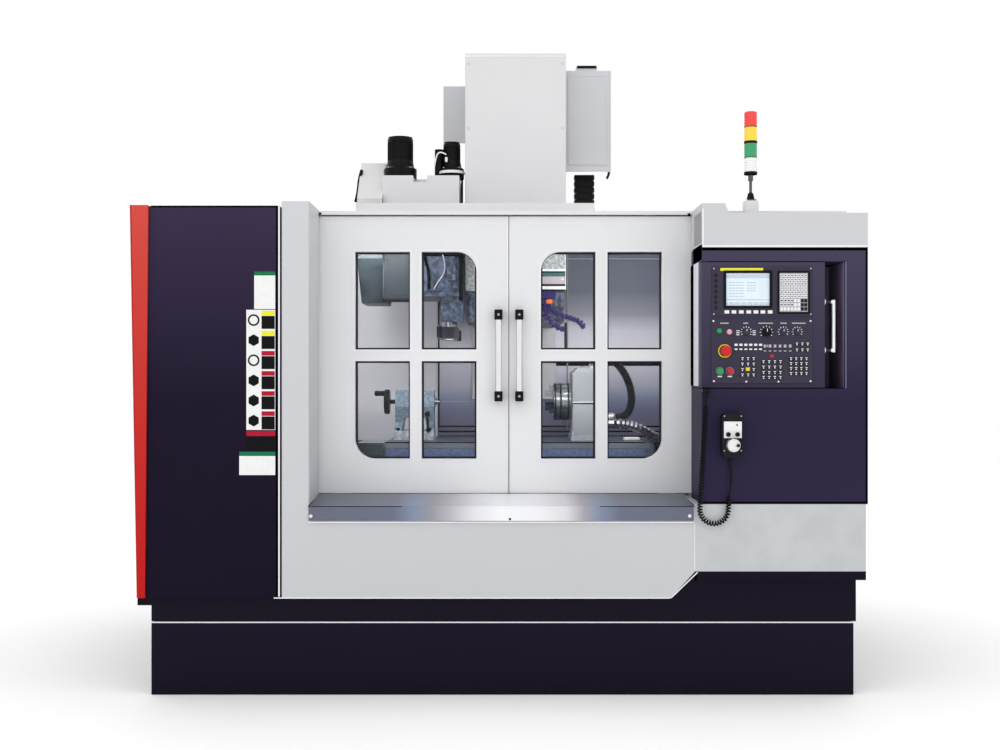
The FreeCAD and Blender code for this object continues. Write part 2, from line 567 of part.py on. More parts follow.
def make_saddle():
    """Saddle casting with clearance for the Y screw, the X rails, the X screw with bearings and its motor."""
    left, right = S.axis_x - S.saddle_half, S.axis_x + S.saddle_half
    body = body_of("saddle_body", "XZ", rect((left, right), (S.saddle_low, S.saddle_top)),
                   S.saddle_front, S.saddle_rear)
    pocket(body, "XZ", rect((S.axis_x - 60, S.axis_x + 60), (S.saddle_low, S.saddle_low + 40)),
           S.saddle_front, S.saddle_rear)
    dress(body, "Chamfer", 40, lambda at, along: abs(along.y) > 0.99 and at.z > 800)
    pieces = [body]
    for i, side in enumerate((-1, 1)):
        middle = S.axis_y + side * S.x_rail_offset
        pieces.append(block(f"x_rail_{i}", (left + 45, right - 45), (middle - S.rail_half, middle + S.rail_half),
                            (S.saddle_top, S.x_rail_top)))
        pieces.append(block(f"x_bearing_{i}", (S.axis_x + side * 370 - 10, S.axis_x + side * 370 + 10),
                            (S.axis_y - 40, S.axis_y + 40), (S.saddle_top, S.x_rail_top - 2)))
    pieces.append(rod("x_screw", "x", (S.axis_y, S.saddle_top + 18), 15, S.axis_x - 380, S.axis_x + 380))
    pieces.append(block("x_motor", (left - 180, left), (S.axis_y - 60, S.axis_y + 60), (S.saddle_top - 130,
                                                                                      S.saddle_top - 10)))
    node("saddle", fuse("saddle_all", *pieces))
    cover_x = (S.axis_x - 416, S.axis_x + 416)
    front = block("front_plate", cover_x, (-800, S.saddle_front), (712, 718))
    rear = block("rear_plate", cover_x, (S.saddle_rear, 150), (717, 722))
    node("saddle_way_covers", group("saddle_covers", front, rear))
    middle = body_of("middle_stage", "XZ", [
        (S.axis_x - 424, 696), (S.axis_x - 420, 696), (S.axis_x - 420, 708), (S.axis_x + 420, 708),
        (S.axis_x + 420, 696), (S.axis_x + 424, 696), (S.axis_x + 424, 713), (S.axis_x - 424, 713)],
        S.saddle_rear + 130, S.saddle_rear + 320)
    node("rear_way_cover", middle)


def slotted_outline():
    """Section of the table across its length: three T-slots cut from above, coolant rims at the edges."""
    points = [(S.table_front, S.table_bottom), (S.table_rear, S.table_bottom), (S.table_rear, S.table_top)]
    for row in (1, 0, -1):
        middle = S.axis_y + row * S.slot_pitch
        neck, floor = S.table_top - S.slot_neck_depth, S.table_top - S.slot_depth
        points += [(middle + S.slot_neck, S.table_top), (middle + S.slot_neck, neck),
                   (middle + S.slot_half, neck), (middle + S.slot_half, floor),
                   (middle - S.slot_half, floor), (middle - S.slot_half, neck),
                   (middle - S.slot_neck, neck), (middle - S.slot_neck, S.table_top)]
    return points + [(S.table_front, S.table_top)]


def make_table():
    """T-slotted table, a chip guard at its left end and the hose bracket at its right end."""
    body = body_of("table_body", "YZ", slotted_outline(), S.table_left, S.table_right)
    node("worktable", body)
    guard = block("end_guard", (S.table_left - 150, S.table_left), (-420, -20), (932, 984))
    bracket = fuse("hose_bracket",
                   block("bracket_arm", (S.table_right, 800), (-270, -170), (912, 924)),
                   block("bracket_root", (S.table_right, S.table_right + 10), (-270, -170), (924, 950)))
    node("table_guards", group("guards", guard, bracket))


def make_rotary():
    """Rotary table body: foot, gear housing with chamfered front, bearing flange and a covered motor behind."""
    housing = body_of("rotary_housing", "XZ", [
        (S.rotary_left, S.table_top), (S.rotary_foot_right, S.table_top), (S.rotary_foot_right, S.rotary_low - 20),
        (S.rotary_foot_right + 20, S.rotary_low), (S.rotary_right, S.rotary_low), (S.rotary_right, S.rotary_top - 30),
        (S.rotary_right - 30, S.rotary_top), (S.rotary_left + 25, S.rotary_top), (S.rotary_left, S.rotary_top - 25)],
        S.rotary_front, S.rotary_rear)
    front = value(S.rotary_front)
    dress(housing, "Chamfer", 12, lambda at, along: abs(along.z) > 0.99 and abs(at.y - front) < 1 and at.z > 1100)
    feet = block("rotary_foot", (S.rotary_left - 6, S.rotary_foot_right + 40), (S.rotary_front - 13.5, S.rotary_rear + 13.5),
                 (S.table_top, S.table_top + 24))
    flange = rod("rotary_flange", "x", (S.axis_y, S.work_axis_z), 80, S.chuck_back + 0.3, S.rotary_left)
    spindle_hole = rod("rotary_bore", "x", (S.axis_y, S.work_axis_z), S.spindle_bore - 20, S.chuck_back, 460)
    motor = block("rotary_motor", (370, 490), (S.rotary_rear, -20), (1170, 1300))
    fitting = rod("conduit_fitting", "x", (-220, 1100), 20, S.rotary_foot_right, 545)
    node("rotary_table", cut("rotary", fuse("rotary_solid", housing, feet, flange, motor, fitting), spindle_hole))
    chuck = rod("chuck_body", "x", (S.axis_y, S.work_axis_z), S.chuck_radius, S.chuck_face, S.chuck_back)
    shaft = rod("chuck_shaft", "x", (S.axis_y, S.work_axis_z), S.spindle_bore - 20.05, S.chuck_back, 450)
    bore = rod("chuck_bore", "x", (S.axis_y, S.work_axis_z), 20, S.jaw_face - 1, 451)
    jaws = []
    for i in range(3):
        jaw = block(f"jaw_{i}", (S.jaw_face, S.chuck_face), (S.axis_y - 14, S.axis_y + 14),
                    (S.work_axis_z + 26, S.work_axis_z + 84))
        step = block(f"jaw_step_{i}", (S.jaw_face - 1, S.jaw_face + 20), (S.axis_y - 15, S.axis_y + 15),
                     (S.work_axis_z + 55, S.work_axis_z + 85))
        stepped = cut(f"stepped_jaw_{i}", jaw, step)
        turn = FreeCAD.Rotation(FreeCAD.Vector(1, 0, 0), 120 * i)
        centre = FreeCAD.Vector(0, value(S.axis_y), value(S.work_axis_z))
        stepped.Placement = FreeCAD.Placement(centre - turn.multVec(centre), turn)
        jaws.append(stepped)
    node("chuck", cut("chuck_all", fuse("chuck_solid", chuck, shaft, *jaws), bore))


def quill_point():
    """Faceted centre at the end of the quill."""
    base = FreeCAD.Vector(value(S.tail_right) + 5, value(S.axis_y), value(S.work_axis_z))
    way = FreeCAD.Vector(1, 0, 0)
    return shape_feature("quill_centre", ring_chain([base, base + way * 28], [way, way], [16, 2], 16,
                                                    FreeCAD.Vector(0, 1, 0)))


def make_tailstock():
    """Tailstock with waisted body, quill with its centre, and handwheel with a crank grip."""
    body = body_of("tail_body", "YZ", [
        (S.axis_y - S.tail_half - 30, S.table_top), (S.axis_y + S.tail_half + 30, S.table_top),
        (S.axis_y + S.tail_half + 30, S.tail_base), (S.axis_y + S.tail_half - 18, S.tail_base + 40),
        (S.axis_y + S.tail_half, S.tail_top - 60), (S.axis_y + S.tail_half - 22, S.tail_top + 18),
        (S.axis_y - S.tail_half + 22, S.tail_top + 18), (S.axis_y - S.tail_half, S.tail_top - 60),
        (S.axis_y - S.tail_half + 18, S.tail_base + 40), (S.axis_y - S.tail_half - 30, S.tail_base)],
        S.tail_left, S.tail_right)
    pocket(body, "XZ", [(S.tail_left + 30, S.tail_base), (S.tail_right - 30, S.tail_base),
                        (S.tail_right - 46, S.tail_base + 62), (S.tail_left + 46, S.tail_base + 62)],
           S.axis_y - S.tail_half - 30, S.axis_y + S.tail_half + 30)
    quill_bore = rod("quill_bore_tool", "x", (S.axis_y, S.work_axis_z), S.quill_bore, S.tail_left + 30, S.tail_right)
    shaft_bore = rod("shaft_bore_tool", "x", (S.axis_y, S.work_axis_z), S.wheel_bore, S.tail_left, S.tail_left + 30)
    node("tailstock", cut("tail", body, quill_bore, shaft_bore))
    quill = fuse("quill", rod("quill_bar", "x", (S.axis_y, S.work_axis_z), S.quill_radius, S.tail_left + 40,
                              S.tail_right + 5),
                 quill_point())
    node("tailstock_quill", quill)
    rim = rod("wheel_disc", "x", (S.axis_y, S.work_axis_z), S.wheel_radius, -550, -528)
    shaft = rod("wheel_axle", "x", (S.axis_y, S.work_axis_z), S.wheel_shaft, -545, S.tail_left + 28)
    grip = rod("crank_grip", "x", (S.axis_y, S.work_axis_z + 40), 11, -600, -540)
    node("tailstock_handwheel", fuse("handwheel", rim, shaft, grip))


# ---------------------------------------------------------------- tubes

def shape_feature(label, shape):
    feature = doc.addObject("Part::Feature", label)
    feature.Shape = shape
    return feature


CONDUIT_RADIUS = 16
CONDUIT_ROUTE = [(452, -220, 1340), (452, -220, 1386), (516, -220, 1400), (588, -220, 1346), (632, -220, 1260),
                 (643, -220, 1176), (616, -220, 1100), (545, -220, 1100)]
HOSE_ROUTE = [(522, -300, 1076), (570, -300, 1076), (624, -294, 1068), (684, -278, 1044), (738, -252, 1012),
              (768, -222, 996), (768, -222, 976)]
HOSE_SIDES = 10
HOSE_RADIUS = 26
RIB_DEPTH = 4
RIB_COUNT = 15


def polyline_point(points, share):
    """A point and direction on a smooth quadratic blend of the route, for a share from 0 to 1."""
    knots = [FreeCAD.Vector(*p) for p in points]
    middles = [knots[0]] + [(a + b) * 0.5 for a, b in zip(knots[1:], knots[2:-1])] + [knots[-1]]
    spans = list(zip(middles, knots[1:-1], middles[1:]))
    place = min(share * len(spans), len(spans) - 1e-9)
    a, b, c = spans[int(place)]
    t = place - int(place)
    point = a * (1 - t) ** 2 + b * (2 * t * (1 - t)) + c * t ** 2
    direction = (b - a) * (2 * (1 - t)) + (c - b) * (2 * t)
    return point, direction.normalize()


def ring_chain(places, ways, radii, sides, side):
    """Solid through rings across a path, whose corners keep their direction from each ring to the next."""
    rings = []
    for place, way, radius in zip(places, ways, radii):
        side = (side - way * side.dot(way)).normalize()
        lift = way.cross(side)
        rings.append([place + side * (radius * math.cos(math.tau * k / sides))
                      + lift * (radius * math.sin(math.tau * k / sides)) for k in range(sides)])
    facets = [rings[0], rings[-1]]
    for ring, after in zip(rings, rings[1:]):
        for k in range(sides):
            n = (k + 1) % sides
            facets += [[ring[k], ring[n], after[n]], [ring[k], after[n], after[k]]]
    shell = Part.makeShell([Part.Face(Part.makePolygon(corners + corners[:1])) for corners in facets])
    shell.sewShape()
    return Part.makeSolid(shell)


def bent_tube(points, radius, sides, steps):
    """A tube along the smooth blend of a route."""
    spots = [polyline_point(points, step / steps) for step in range(steps + 1)]
    return ring_chain([spot for spot, _ in spots], [way for _, way in spots], [radius] * len(spots), sides,
                      FreeCAD.Vector(0, 1, 0))


def ribbed_hose(points, radius, ribs):
    """Ribbed hose: a low and a high ring for each rib, and a plain lead at both ends."""
    lead, low = 2 * radius, radius - RIB_DEPTH
    start, first_way = polyline_point(points, 0)
    end, last_way = polyline_point(points, 1)
    places, ways, radii = [start - first_way * lead], [first_way], [low]
    for rib in range(ribs):
        for part, size in ((0.25, low), (0.75, radius)):
            place, way = polyline_point(points, (rib + part) / ribs)
            places, ways, radii = places + [place], ways + [way], radii + [size]
    places, ways, radii = places + [end, end + last_way * lead], ways + [last_way] * 2, radii + [low] * 2
    return ring_chain(places, ways, radii, HOSE_SIDES, FreeCAD.Vector(0, 1, 0))


def make_hoses():
    """Black conduit from the rotary table's motor and ribbed metal hose down to the bracket."""
    conduit = bent_tube(CONDUIT_ROUTE, CONDUIT_RADIUS, 8, 20)
    hose = ribbed_hose(HOSE_ROUTE, HOSE_RADIUS, RIB_COUNT)
    node("rotary_conduit", shape_feature("conduit_shape", conduit))
    node("rotary_hose", shape_feature("hose_shape", hose))


# ---------------------------------------------------------------- curly cord

COIL_TOP = (842.0, 1196.0)
COIL_TURN = (817.0, 760.0)
LOOP_RADIUS = 58.0
COIL_END_Z = 806.0
LEAD = ((943.0, 862.0, 0.12), (945.0, 918.0, -0.08), (938.0, 972.0, 0.0))
CORD_SIDES = 5
CORD_STEPS = 184


def coil_centre(distance):
    """Centre line of the coil in the XZ plane: down, round the loop below and up again."""
    (top_x, top_z), (turn_x, turn_z) = COIL_TOP, COIL_TURN
    down = math.hypot(turn_x - top_x, turn_z - top_z)
    if distance < down:
        share = distance / down
        return top_x + (turn_x - top_x) * share, top_z + (turn_z - top_z) * share
    distance -= down
    around = math.pi * LOOP_RADIUS
    if distance < around:
        angle = distance / LOOP_RADIUS
        return turn_x + LOOP_RADIUS * (1 - math.cos(angle)), turn_z - LOOP_RADIUS * math.sin(angle)
    return turn_x + 2 * LOOP_RADIUS, turn_z + distance - around


def coil_length():
    (top_x, top_z), (turn_x, turn_z) = COIL_TOP, COIL_TURN
    return math.hypot(turn_x - top_x, turn_z - top_z) + math.pi * LOOP_RADIUS + COIL_END_Z - turn_z


def curl_point(distance, length, curls, radius, y):
    """A point on the curly cord, which winds about the centre line and closes in on it at both ends."""
    x, z = coil_centre(distance)
    ahead, behind = coil_centre(min(distance + 1, length)), coil_centre(max(distance - 1, 0))
    along = FreeCAD.Vector(ahead[0] - behind[0], 0, ahead[1] - behind[1]).normalize()
    across = along.cross(FreeCAD.Vector(0, 1, 0))
    angle = 2 * math.pi * curls * distance / length
    ramp = 1.3 * length / curls
    ease = min(1.0, distance / ramp, (length - distance) / ramp)
    ease = ease * ease * (3 - 2 * ease)
    return (FreeCAD.Vector(x, y, z) + across * (radius * ease * math.cos(angle))
            + FreeCAD.Vector(0, 1, 0) * (radius * ease * math.sin(angle)))


def biarc(start, out, end, into):
    """Two tangent arcs from start to end with the given unit directions at both ends."""
    gap, both = end - start, out + into
    bend = 2 * (1 - out.dot(into))
    if bend < 1e-9:
        return [Part.LineSegment(start, end).toShape()]
    reach = (-gap.dot(both) + math.sqrt(gap.dot(both) ** 2 + bend * gap.dot(gap))) / bend
    first, second = start + out * reach, end - into * reach
    joint = (first + second) * 0.5
    edges = []
    for a, corner, b in ((start, first, joint), (joint, second, end)):
        chord = (a + b) * 0.5
        cosine = (b - a).Length / 2 / (corner - a).Length
        middle = chord + (corner - chord) * (cosine / (1 + cosine))
        edges.append(Part.Arc(a, middle, b).toShape())
    return edges


def curly_cord():
    """The cord as one unbroken tube of flat sides: lead, curls and the lead up into the pendant."""
    y, radius = value(S.cord_y), value(S.curl_radius)
    length = coil_length()
    curls = round(length / value(S.curl_pitch))
    step = length / (2 * curls)
    places = [step * i for i in range(2 * curls + 1)]
    knots = [curl_point(d, length, curls, radius, y) for d in places]
    ways = []
    for d in places:
        before = curl_point(max(d - 0.05, 0), length, curls, radius, y)
        after = curl_point(min(d + 0.05, length), length, curls, radius, y)
        ways.append((after - before).normalize())
    edges = []
    for i in range(len(knots) - 1):
        edges += biarc(knots[i], ways[i], knots[i + 1], ways[i + 1])
    gland = FreeCAD.Vector(value(S.gland_x), y, value(S.gland_z))
    edges = biarc(gland, FreeCAD.Vector(0, 0, -1), knots[0], ways[0]) + edges
    place, way = knots[-1], ways[-1]
    for x, z, slant in LEAD:
        after, way_after = FreeCAD.Vector(x, y, z), FreeCAD.Vector(slant, 0, 1).normalize()
        edges += biarc(place, way, after, way_after)
        place, way = after, way_after
    path = Part.Wire(edges)
    wire = value(S.wire_radius)
    places = path.discretize(Number=CORD_STEPS)
    ways = [(b - a).normalize() for a, b in zip(places, places[1:])]
    ways = ways[:1] + [(a + b).normalize() for a, b in zip(ways, ways[1:])] + ways[-1:]
    ways[0], ways[-1] = FreeCAD.Vector(0, 0, -1), FreeCAD.Vector(0, 0, 1)
    solid = ring_chain(places, ways, [wire] * len(places), CORD_SIDES, FreeCAD.Vector(1, 0, 0))
    print(f"cord: {curls} curls, path {path.Length:.0f} mm, least gap to itself {least_gap(path, wire):.2f} mm")
    return solid


def least_gap(path, wire):
    """Smallest gap between turns, measured between points of the path that lie over half a turn apart."""
    points = path.discretize(Distance=2.0)
    apart = int(math.pi * value(S.curl_radius) / 2.0)
    least = min((points[i] - points[j]).Length for i in range(len(points))
                for j in range(i + apart, min(i + 6 * apart, len(points))))
    return least - 2 * wire


def make_cord_and_gland():
    """Curly cord from the gland under the console to the foot of the pendant."""
    node("pendant_cord", shape_feature("cord_shape", curly_cord()))
    body = block("gland_block", (S.gland_x - 16, S.gland_x + 16), (S.cord_y - 16, S.front_y), (1236, 1250))
    nut = rod("gland_nut", "z", (S.gland_x, S.cord_y), 10, S.gland_z, 1236)
    node("cord_gland", fuse("gland", body, nut))


# ---------------------------------------------------------------- head, spindle and tool changer

def make_head():
    """Head casting with its rear carriage and spindle chin, and the tall sheet cover around it."""
    left, right = S.axis_x - S.casting_half, S.axis_x + S.casting_half
    body = body_of("casting_body", "YZ", [
        (S.chin_rear, S.chin_low), (S.z_rail_front - 0.2, S.chin_low), (S.z_rail_front - 0.2, S.casting_top),
        (S.axis_y - 60, S.casting_top), (S.axis_y - 110, S.casting_top - 120), (S.axis_y - 110, S.head_low),
        (S.chin_rear, S.head_low)], left, right)
    chin = body_of("chin_body", "XZ", rect((S.axis_x - S.chin_half, S.axis_x + S.chin_half),
                                          (S.chin_low, S.head_low)), S.chin_front, S.chin_rear)
    front = value(S.chin_front)
    dress(chin, "Chamfer", 14, lambda at, along: abs(along.z) > 0.99 and abs(at.y - front) < 1)
    screw = rod("head_screw_hole", "z", (S.axis_x, S.z_screw_y), S.screw_radius + 2, S.chin_low, S.casting_top)
    bore = rod("spindle_hole", "z", (S.axis_x, S.axis_y), S.spindle_bore, S.chin_low, S.spindle_top + 10)
    node("head_casting", cut("casting", fuse("casting_solid", body, chin), screw, bore))
    nose = rod("nose", "z", (S.axis_x, S.axis_y), S.spindle_radius, S.spindle_low, S.spindle_top)
    taper = rod("tool_taper", "z", (S.axis_x, S.axis_y), 22.2, S.spindle_low, S.spindle_low + 65, tip=12.7)
    node("spindle", cut("spindle_all", nose, taper))

    outer = body_of("cover_outer", "XY", rect((S.head_left, S.head_right), (S.head_front, S.head_rear)),
                    S.head_low, S.head_top)
    front = value(S.head_front)
    dress(outer, "Fillet", 6, lambda at, along: abs(along.z) > 0.99 and abs(at.y - front) < 1)
    inner = block("cover_inner", inset(S.head_left, S.head_right, S.head_sheet),
                  (S.head_front + S.head_sheet, S.head_rear + 1), (S.head_low - 1, S.head_top - S.head_sheet))
    plate = block("way_plate", (S.axis_x - 216, S.axis_x + 216), (306, 312), (1180, S.chin_low))
    node("head_cover", group("head_covers", cut("cover", outer, inner), plate))


def make_head_boxes():
    """Cable box with its cap on the head cover's right side, and the smaller box on the left."""
    right = body_of("cable_box", "YZ", [
        (-330, 2268), (-330, 2747), (-60, 2747), (-60, 2316)], S.head_right, 530)
    cap = block("cable_cap", (369, 469), (-270, -120), (2747, 2782))
    left = body_of("left_box_body", "YZ", [(0, 2463), (0, 2748), (200, 2758), (200, 2508)], -278, S.head_left)
    node("head_side_boxes", group("side_boxes", fuse("cable_box_all", right, cap), left))


def make_drag_chain():
    """Moving run of the cable chain: links with waists under the cable box, turned back at the bottom."""
    x, pitch = (363, 457), 30
    links = []
    for i in range(9):
        top = 2268 - pitch * i
        links.append(block(f"link_{i}", x, (-240, -200), (top - 24, top)))
        links.append(block(f"waist_{i}", (x[0] + 8, x[1] - 8), (-235, -205), (top - pitch, top - 24)))
    bend = [(-240, 1998), (-240, 1972), (-222, 1946), (-190, 1934), (-158, 1946), (-140, 1972), (-140, 1998),
            (-180, 1998), (-180, 1982), (-190, 1974), (-200, 1982), (-200, 1998)]
    links.append(body_of("chain_bend", "YZ", bend, x[0], x[1]))
    links.append(block("chain_tail", x, (-180, -140), (1998, 2040)))
    node("drag_chain", fuse("chain", *links))


NOZZLE_ROUTES = {
    "long": [(228, -484, 1662), (230, -484, 1624), (262, -484, 1592), (320, -484, 1572), (370, -484, 1556),
             (392, -484, 1520)],
    "short": [(204, -484, 1662), (208, -484, 1618), (234, -484, 1562), (262, -484, 1528), (303, -484, 1514)],
}


def make_nozzles():
    """Coolant manifold on the chin, two articulated hoses and the straight air pipe."""
    manifold = block("manifold", (190, 262), (-500, S.chin_front), (1660, 1692))
    hoses = [shape_feature(f"nozzle_{name}", bent_tube(route, 10, 6, 10)) for name, route in NOZZLE_ROUTES.items()]
    pipe = rod("air_pipe", "z", (307, -484), 5, 1421, 1548)
    node("coolant_nozzles", fuse("nozzles", manifold, *hoses, pipe))


def make_changer():
    """Cam box with the arm's shaft bore and its bracket to the column, and the motors on top."""
    box = body_of("cam_box", "XZ", rect((S.gear_left, S.gear_right), (S.gear_low, S.gear_top)),
                  S.gear_front, S.gear_rear)
    pocket(box, "XZ", rect((-395, -331), (S.gear_top - 30, S.gear_top)), S.gear_front, S.gear_front + 120)
    bracket = fuse("changer_bracket",
                   block("bracket_beam", (-330, -190), (S.gear_rear, S.column_front), (1970, 2150)),
                   block("bracket_pad", (-190, -160), (370, S.column_front), (1970, 2150)))
    guard = block("arm_guard", (-269, -165), (-500, -440), (1552, S.gear_low + 12))
    shaft = rod("arm_shaft_hole", "z", (S.arm_x, S.axis_y), S.arm_bore, S.gear_low, 2010)
    hub = rod("drum_hub_hole", "x", (S.drum_y, S.drum_z), S.drum_hub_bore, S.gear_left, -470)
    node("atc_gearbox", cut("gearbox", fuse("gearbox_solid", box, bracket, guard), shaft, hub))
    motors = []
    for i, (x, radius, high) in enumerate(((-462, 57, 2416), (-221, 37, 2393), (-281, 20, 2360))):
        motors.append(rod(f"changer_motor_{i}", "z", (x, -400), radius, S.gear_top, high))
    node("atc_motors", group("motors", *motors))

    shaft = rod("arm_quill", "z", (S.arm_x, S.axis_y), S.arm_shaft_radius, S.arm_top, 1850)
    stub = rod("arm_stub", "z", (S.arm_x, S.axis_y), 20, S.arm_low - 8, S.arm_top)
    node("arm_shaft", fuse("arm_shaft_all", shaft, stub))
    make_arm()
    make_drum()


def make_arm():
    """Double-ended exchange arm: tapered beam from its hub to a tool claw at each end."""
    reach = S.arm_reach
    half = [(S.arm_x - 45, S.axis_y), (S.arm_x - 28, S.axis_y - reach + 70), (S.arm_x - 46, S.axis_y - reach + 40),
            (S.arm_x - 46, S.axis_y - reach - 20), (S.arm_x - 30, S.axis_y - reach - 38),
            (S.arm_x - 24, S.axis_y - reach - 12), (S.arm_x - 24, S.axis_y - reach + 20),
            (S.arm_x, S.axis_y - reach + 32), (S.arm_x + 30, S.axis_y - reach + 24),
            (S.arm_x + 34, S.axis_y - reach + 60), (S.arm_x + 45, S.axis_y - 60)]
    other = [(2 * S.arm_x - x, 2 * S.axis_y - y) for x, y in half]
    body = body_of("arm_body", "XY", half + other, S.arm_low, S.arm_top)
    hole = rod("arm_hole", "z", (S.arm_x, S.axis_y), 20.05, S.arm_low, S.arm_top)
    node("exchange_arm", cut("arm", body, hole))


def octagon(radius, sides=8):
    """Corners of a regular octagon across whose flats the size is twice the radius."""
    reach = 1 / math.cos(math.pi / sides)
    return [(S.drum_y + radius * (reach * math.cos(math.tau * (k + 0.5) / sides)),
             S.drum_z + radius * (reach * math.sin(math.tau * (k + 0.5) / sides))) for k in range(sides)]


def make_drum():
    """Eight-sided magazine cover, open towards the cam box, and the tool disc with its pots inside."""
    cover = body_of("drum_cover", "YZ", octagon(S.drum_radius), S.drum_left, S.gear_left)
    pocket(cover, "YZ", octagon(S.drum_radius - S.head_sheet), S.drum_left + S.head_sheet, S.gear_left)
    node("magazine_housing", cover)
    disc = body_of("disc", "YZ", polygon((S.drum_y, S.drum_z), S.pot_circle + 20, 24), -548, -538)
    hub = rod("disc_hub", "x", (S.drum_y, S.drum_z), S.drum_hub_radius, -538, -480)
    pots = []
    count = 12
    for i in range(count):
        angle = math.tau * i / count
        centre = (S.drum_y + S.pot_circle * math.cos(angle), S.drum_z + S.pot_circle * math.sin(angle))
        pots.append(body_of(f"pot_{i}", "YZ", [
            (centre[0] + S.pot_radius * math.cos(angle + math.tau * k / 8),
             centre[1] + S.pot_radius * math.sin(angle + math.tau * k / 8)) for k in range(8)], -632, -548))
    node("tool_magazine", fuse("drum", disc, hub, *pots))


# ---------------------------------------------------------------- console, controls and pendant

BUTTONS = {
    "emergency_stop": (921, 1404, 20, 26),
    "cycle_start": (900, 1322, 13, 9),
    "feed_hold": (941, 1322, 13, 9),
}
OVERRIDE = (1090, 1480, 17, 20)
KNOBS = ((1008, 1482, 13), (1159, 1482, 12), (1216, 1482, 12))


def make_console():
    """Swing console: hollow housing on two pivot pins, with the display unit and operator panel let in."""
    y = (S.front_y, S.console_rear)
    body = body_of("console_body", "XZ", rect((S.cabinet_left, S.console_right), (S.console_low, S.console_top)), *y)
    recess = S.front_y + S.panel_thick - S.panel_proud
    for x, z in (((S.screen_left, S.screen_right), (S.screen_low, S.screen_high)),
                 ((S.keys_left, S.keys_right), (S.keys_low, S.keys_high))):
        pocket(body, "XZ", rect(x, z), S.front_y, recess)
        pocket(body, "XZ", rect(inset(x[0], x[1], 12), inset(z[0], z[1], 12)), recess, S.console_rear - 20)
    front = value(S.front_y)
    dress(body, "Fillet", 5, lambda at, along: abs(along.y) < 0.01 and abs(at.y - front) < 1 and (
        at.z > value(S.console_top) - 1 or at.z < value(S.console_low) + 1 or at.x > value(S.console_right) - 1))
    pins = [rod(f"pivot_{i}", "z", (S.pivot_x, S.pivot_y), S.pivot_radius, low, low + 15)
            for i, low in enumerate((S.console_low - 15, S.console_top))]
    node("console_housing", fuse("console", body, *pins))

    screen_front = S.front_y - S.panel_proud
    unit = body_of("screen_plate", "XZ", rect((S.screen_left, S.screen_right), (S.screen_low, S.screen_high)),
                   screen_front, screen_front + S.panel_thick)
    pocket(unit, "XZ", rect((926, 1104), (1588, 1722)), screen_front, screen_front + 5)
    node("display_unit", unit)

    plate = body_of("keys_plate", "XZ", rect((S.keys_left, S.keys_right), (S.keys_low, S.keys_high)),
                    screen_front, screen_front + S.panel_thick)
    holes = [rod(f"{name}_hole", "y", (x, z), S.stem_hole, screen_front, screen_front + S.panel_thick)
             for name, (x, z, _, _) in BUTTONS.items()]
    holes.append(rod("override_hole", "y", OVERRIDE[:2], 6.05, screen_front, screen_front + S.panel_thick))
    knobs = [body_of(f"knob_{i}", "XZ", polygon((x, z), radius, 12), screen_front - 14, screen_front)
             for i, (x, z, radius) in enumerate(KNOBS)]
    node("operator_panel", cut("panel", fuse("panel_solid", plate, *knobs), *holes))
    for name, (x, z, radius, proud) in BUTTONS.items():
        gap = 7 if name == "emergency_stop" else 5
        head = rod(f"{name}_head", "y", (x, z), radius, screen_front - gap - proud, screen_front - gap)
        stem = block(f"{name}_stem", (x - 7, x + 7), (screen_front - gap, screen_front + 30), (z - 7, z + 7))
        node(name, fuse(f"{name}_all", head, stem))
    x, z, radius, proud = OVERRIDE
    node("override_knob", fuse("override",
                               body_of("override_cap", "XZ", polygon((x, z), radius, 16), screen_front - proud,
                                       screen_front - 0.5),
                               rod("override_stem", "y", (x, z), 6, screen_front - 0.5, screen_front + 30)))

    bar = rod("grab_bar", "z", (1370, -1152), 7, 1399, 1613)
    arms = [rod(f"grab_arm_{i}", "x", (-1152, z), 7, S.console_right, 1370) for i, z in enumerate((1407, 1605))]
    node("console_handle", fuse("grab", bar, *arms))


def make_pendant():
    """Hand wheel pendant on its holder, with two selector knobs and the turning dial."""
    body = body_of("pendant_shell", "XZ", [
        (S.pendant_left + 8, S.pendant_low), (S.pendant_right - 8, S.pendant_low),
        (S.pendant_right, S.pendant_low + 20), (S.pendant_right, S.pendant_high - 12),
        (S.pendant_right - 12, S.pendant_high), (S.pendant_left + 12, S.pendant_high),
        (S.pendant_left, S.pendant_high - 12), (S.pendant_left, S.pendant_low + 20)],
        S.pendant_front, S.pendant_back)
    holder = block("pendant_holder", (S.dial_x - 22, S.dial_x + 22), (S.pendant_back, S.front_y), (1040, 1130))
    knobs = [rod(f"selector_{i}", "y", (x, 1066), 8, S.pendant_front - 13, S.pendant_front)
             for i, x in enumerate((926.5, 963.5))]
    bore = rod("dial_bore", "y", (S.dial_x, S.dial_z), 6.05, S.pendant_front, S.pendant_front + 25)
    node("pendant_body", cut("pendant", fuse("pendant_solid", body, holder, *knobs), bore))
    dial = rod("dial", "y", (S.dial_x, S.dial_z), S.dial_radius, S.pendant_front - 15, S.pendant_front - 0.5)
    axle = rod("dial_axle", "y", (S.dial_x, S.dial_z), 6, S.pendant_front - 0.5, S.pendant_front + 24)
    grip = rod("dial_grip", "y", (S.dial_x + 16, S.dial_z), 5, S.pendant_front - 30, S.pendant_front - 15)
    node("handwheel_dial", fuse("dial_all", dial, axle, grip))


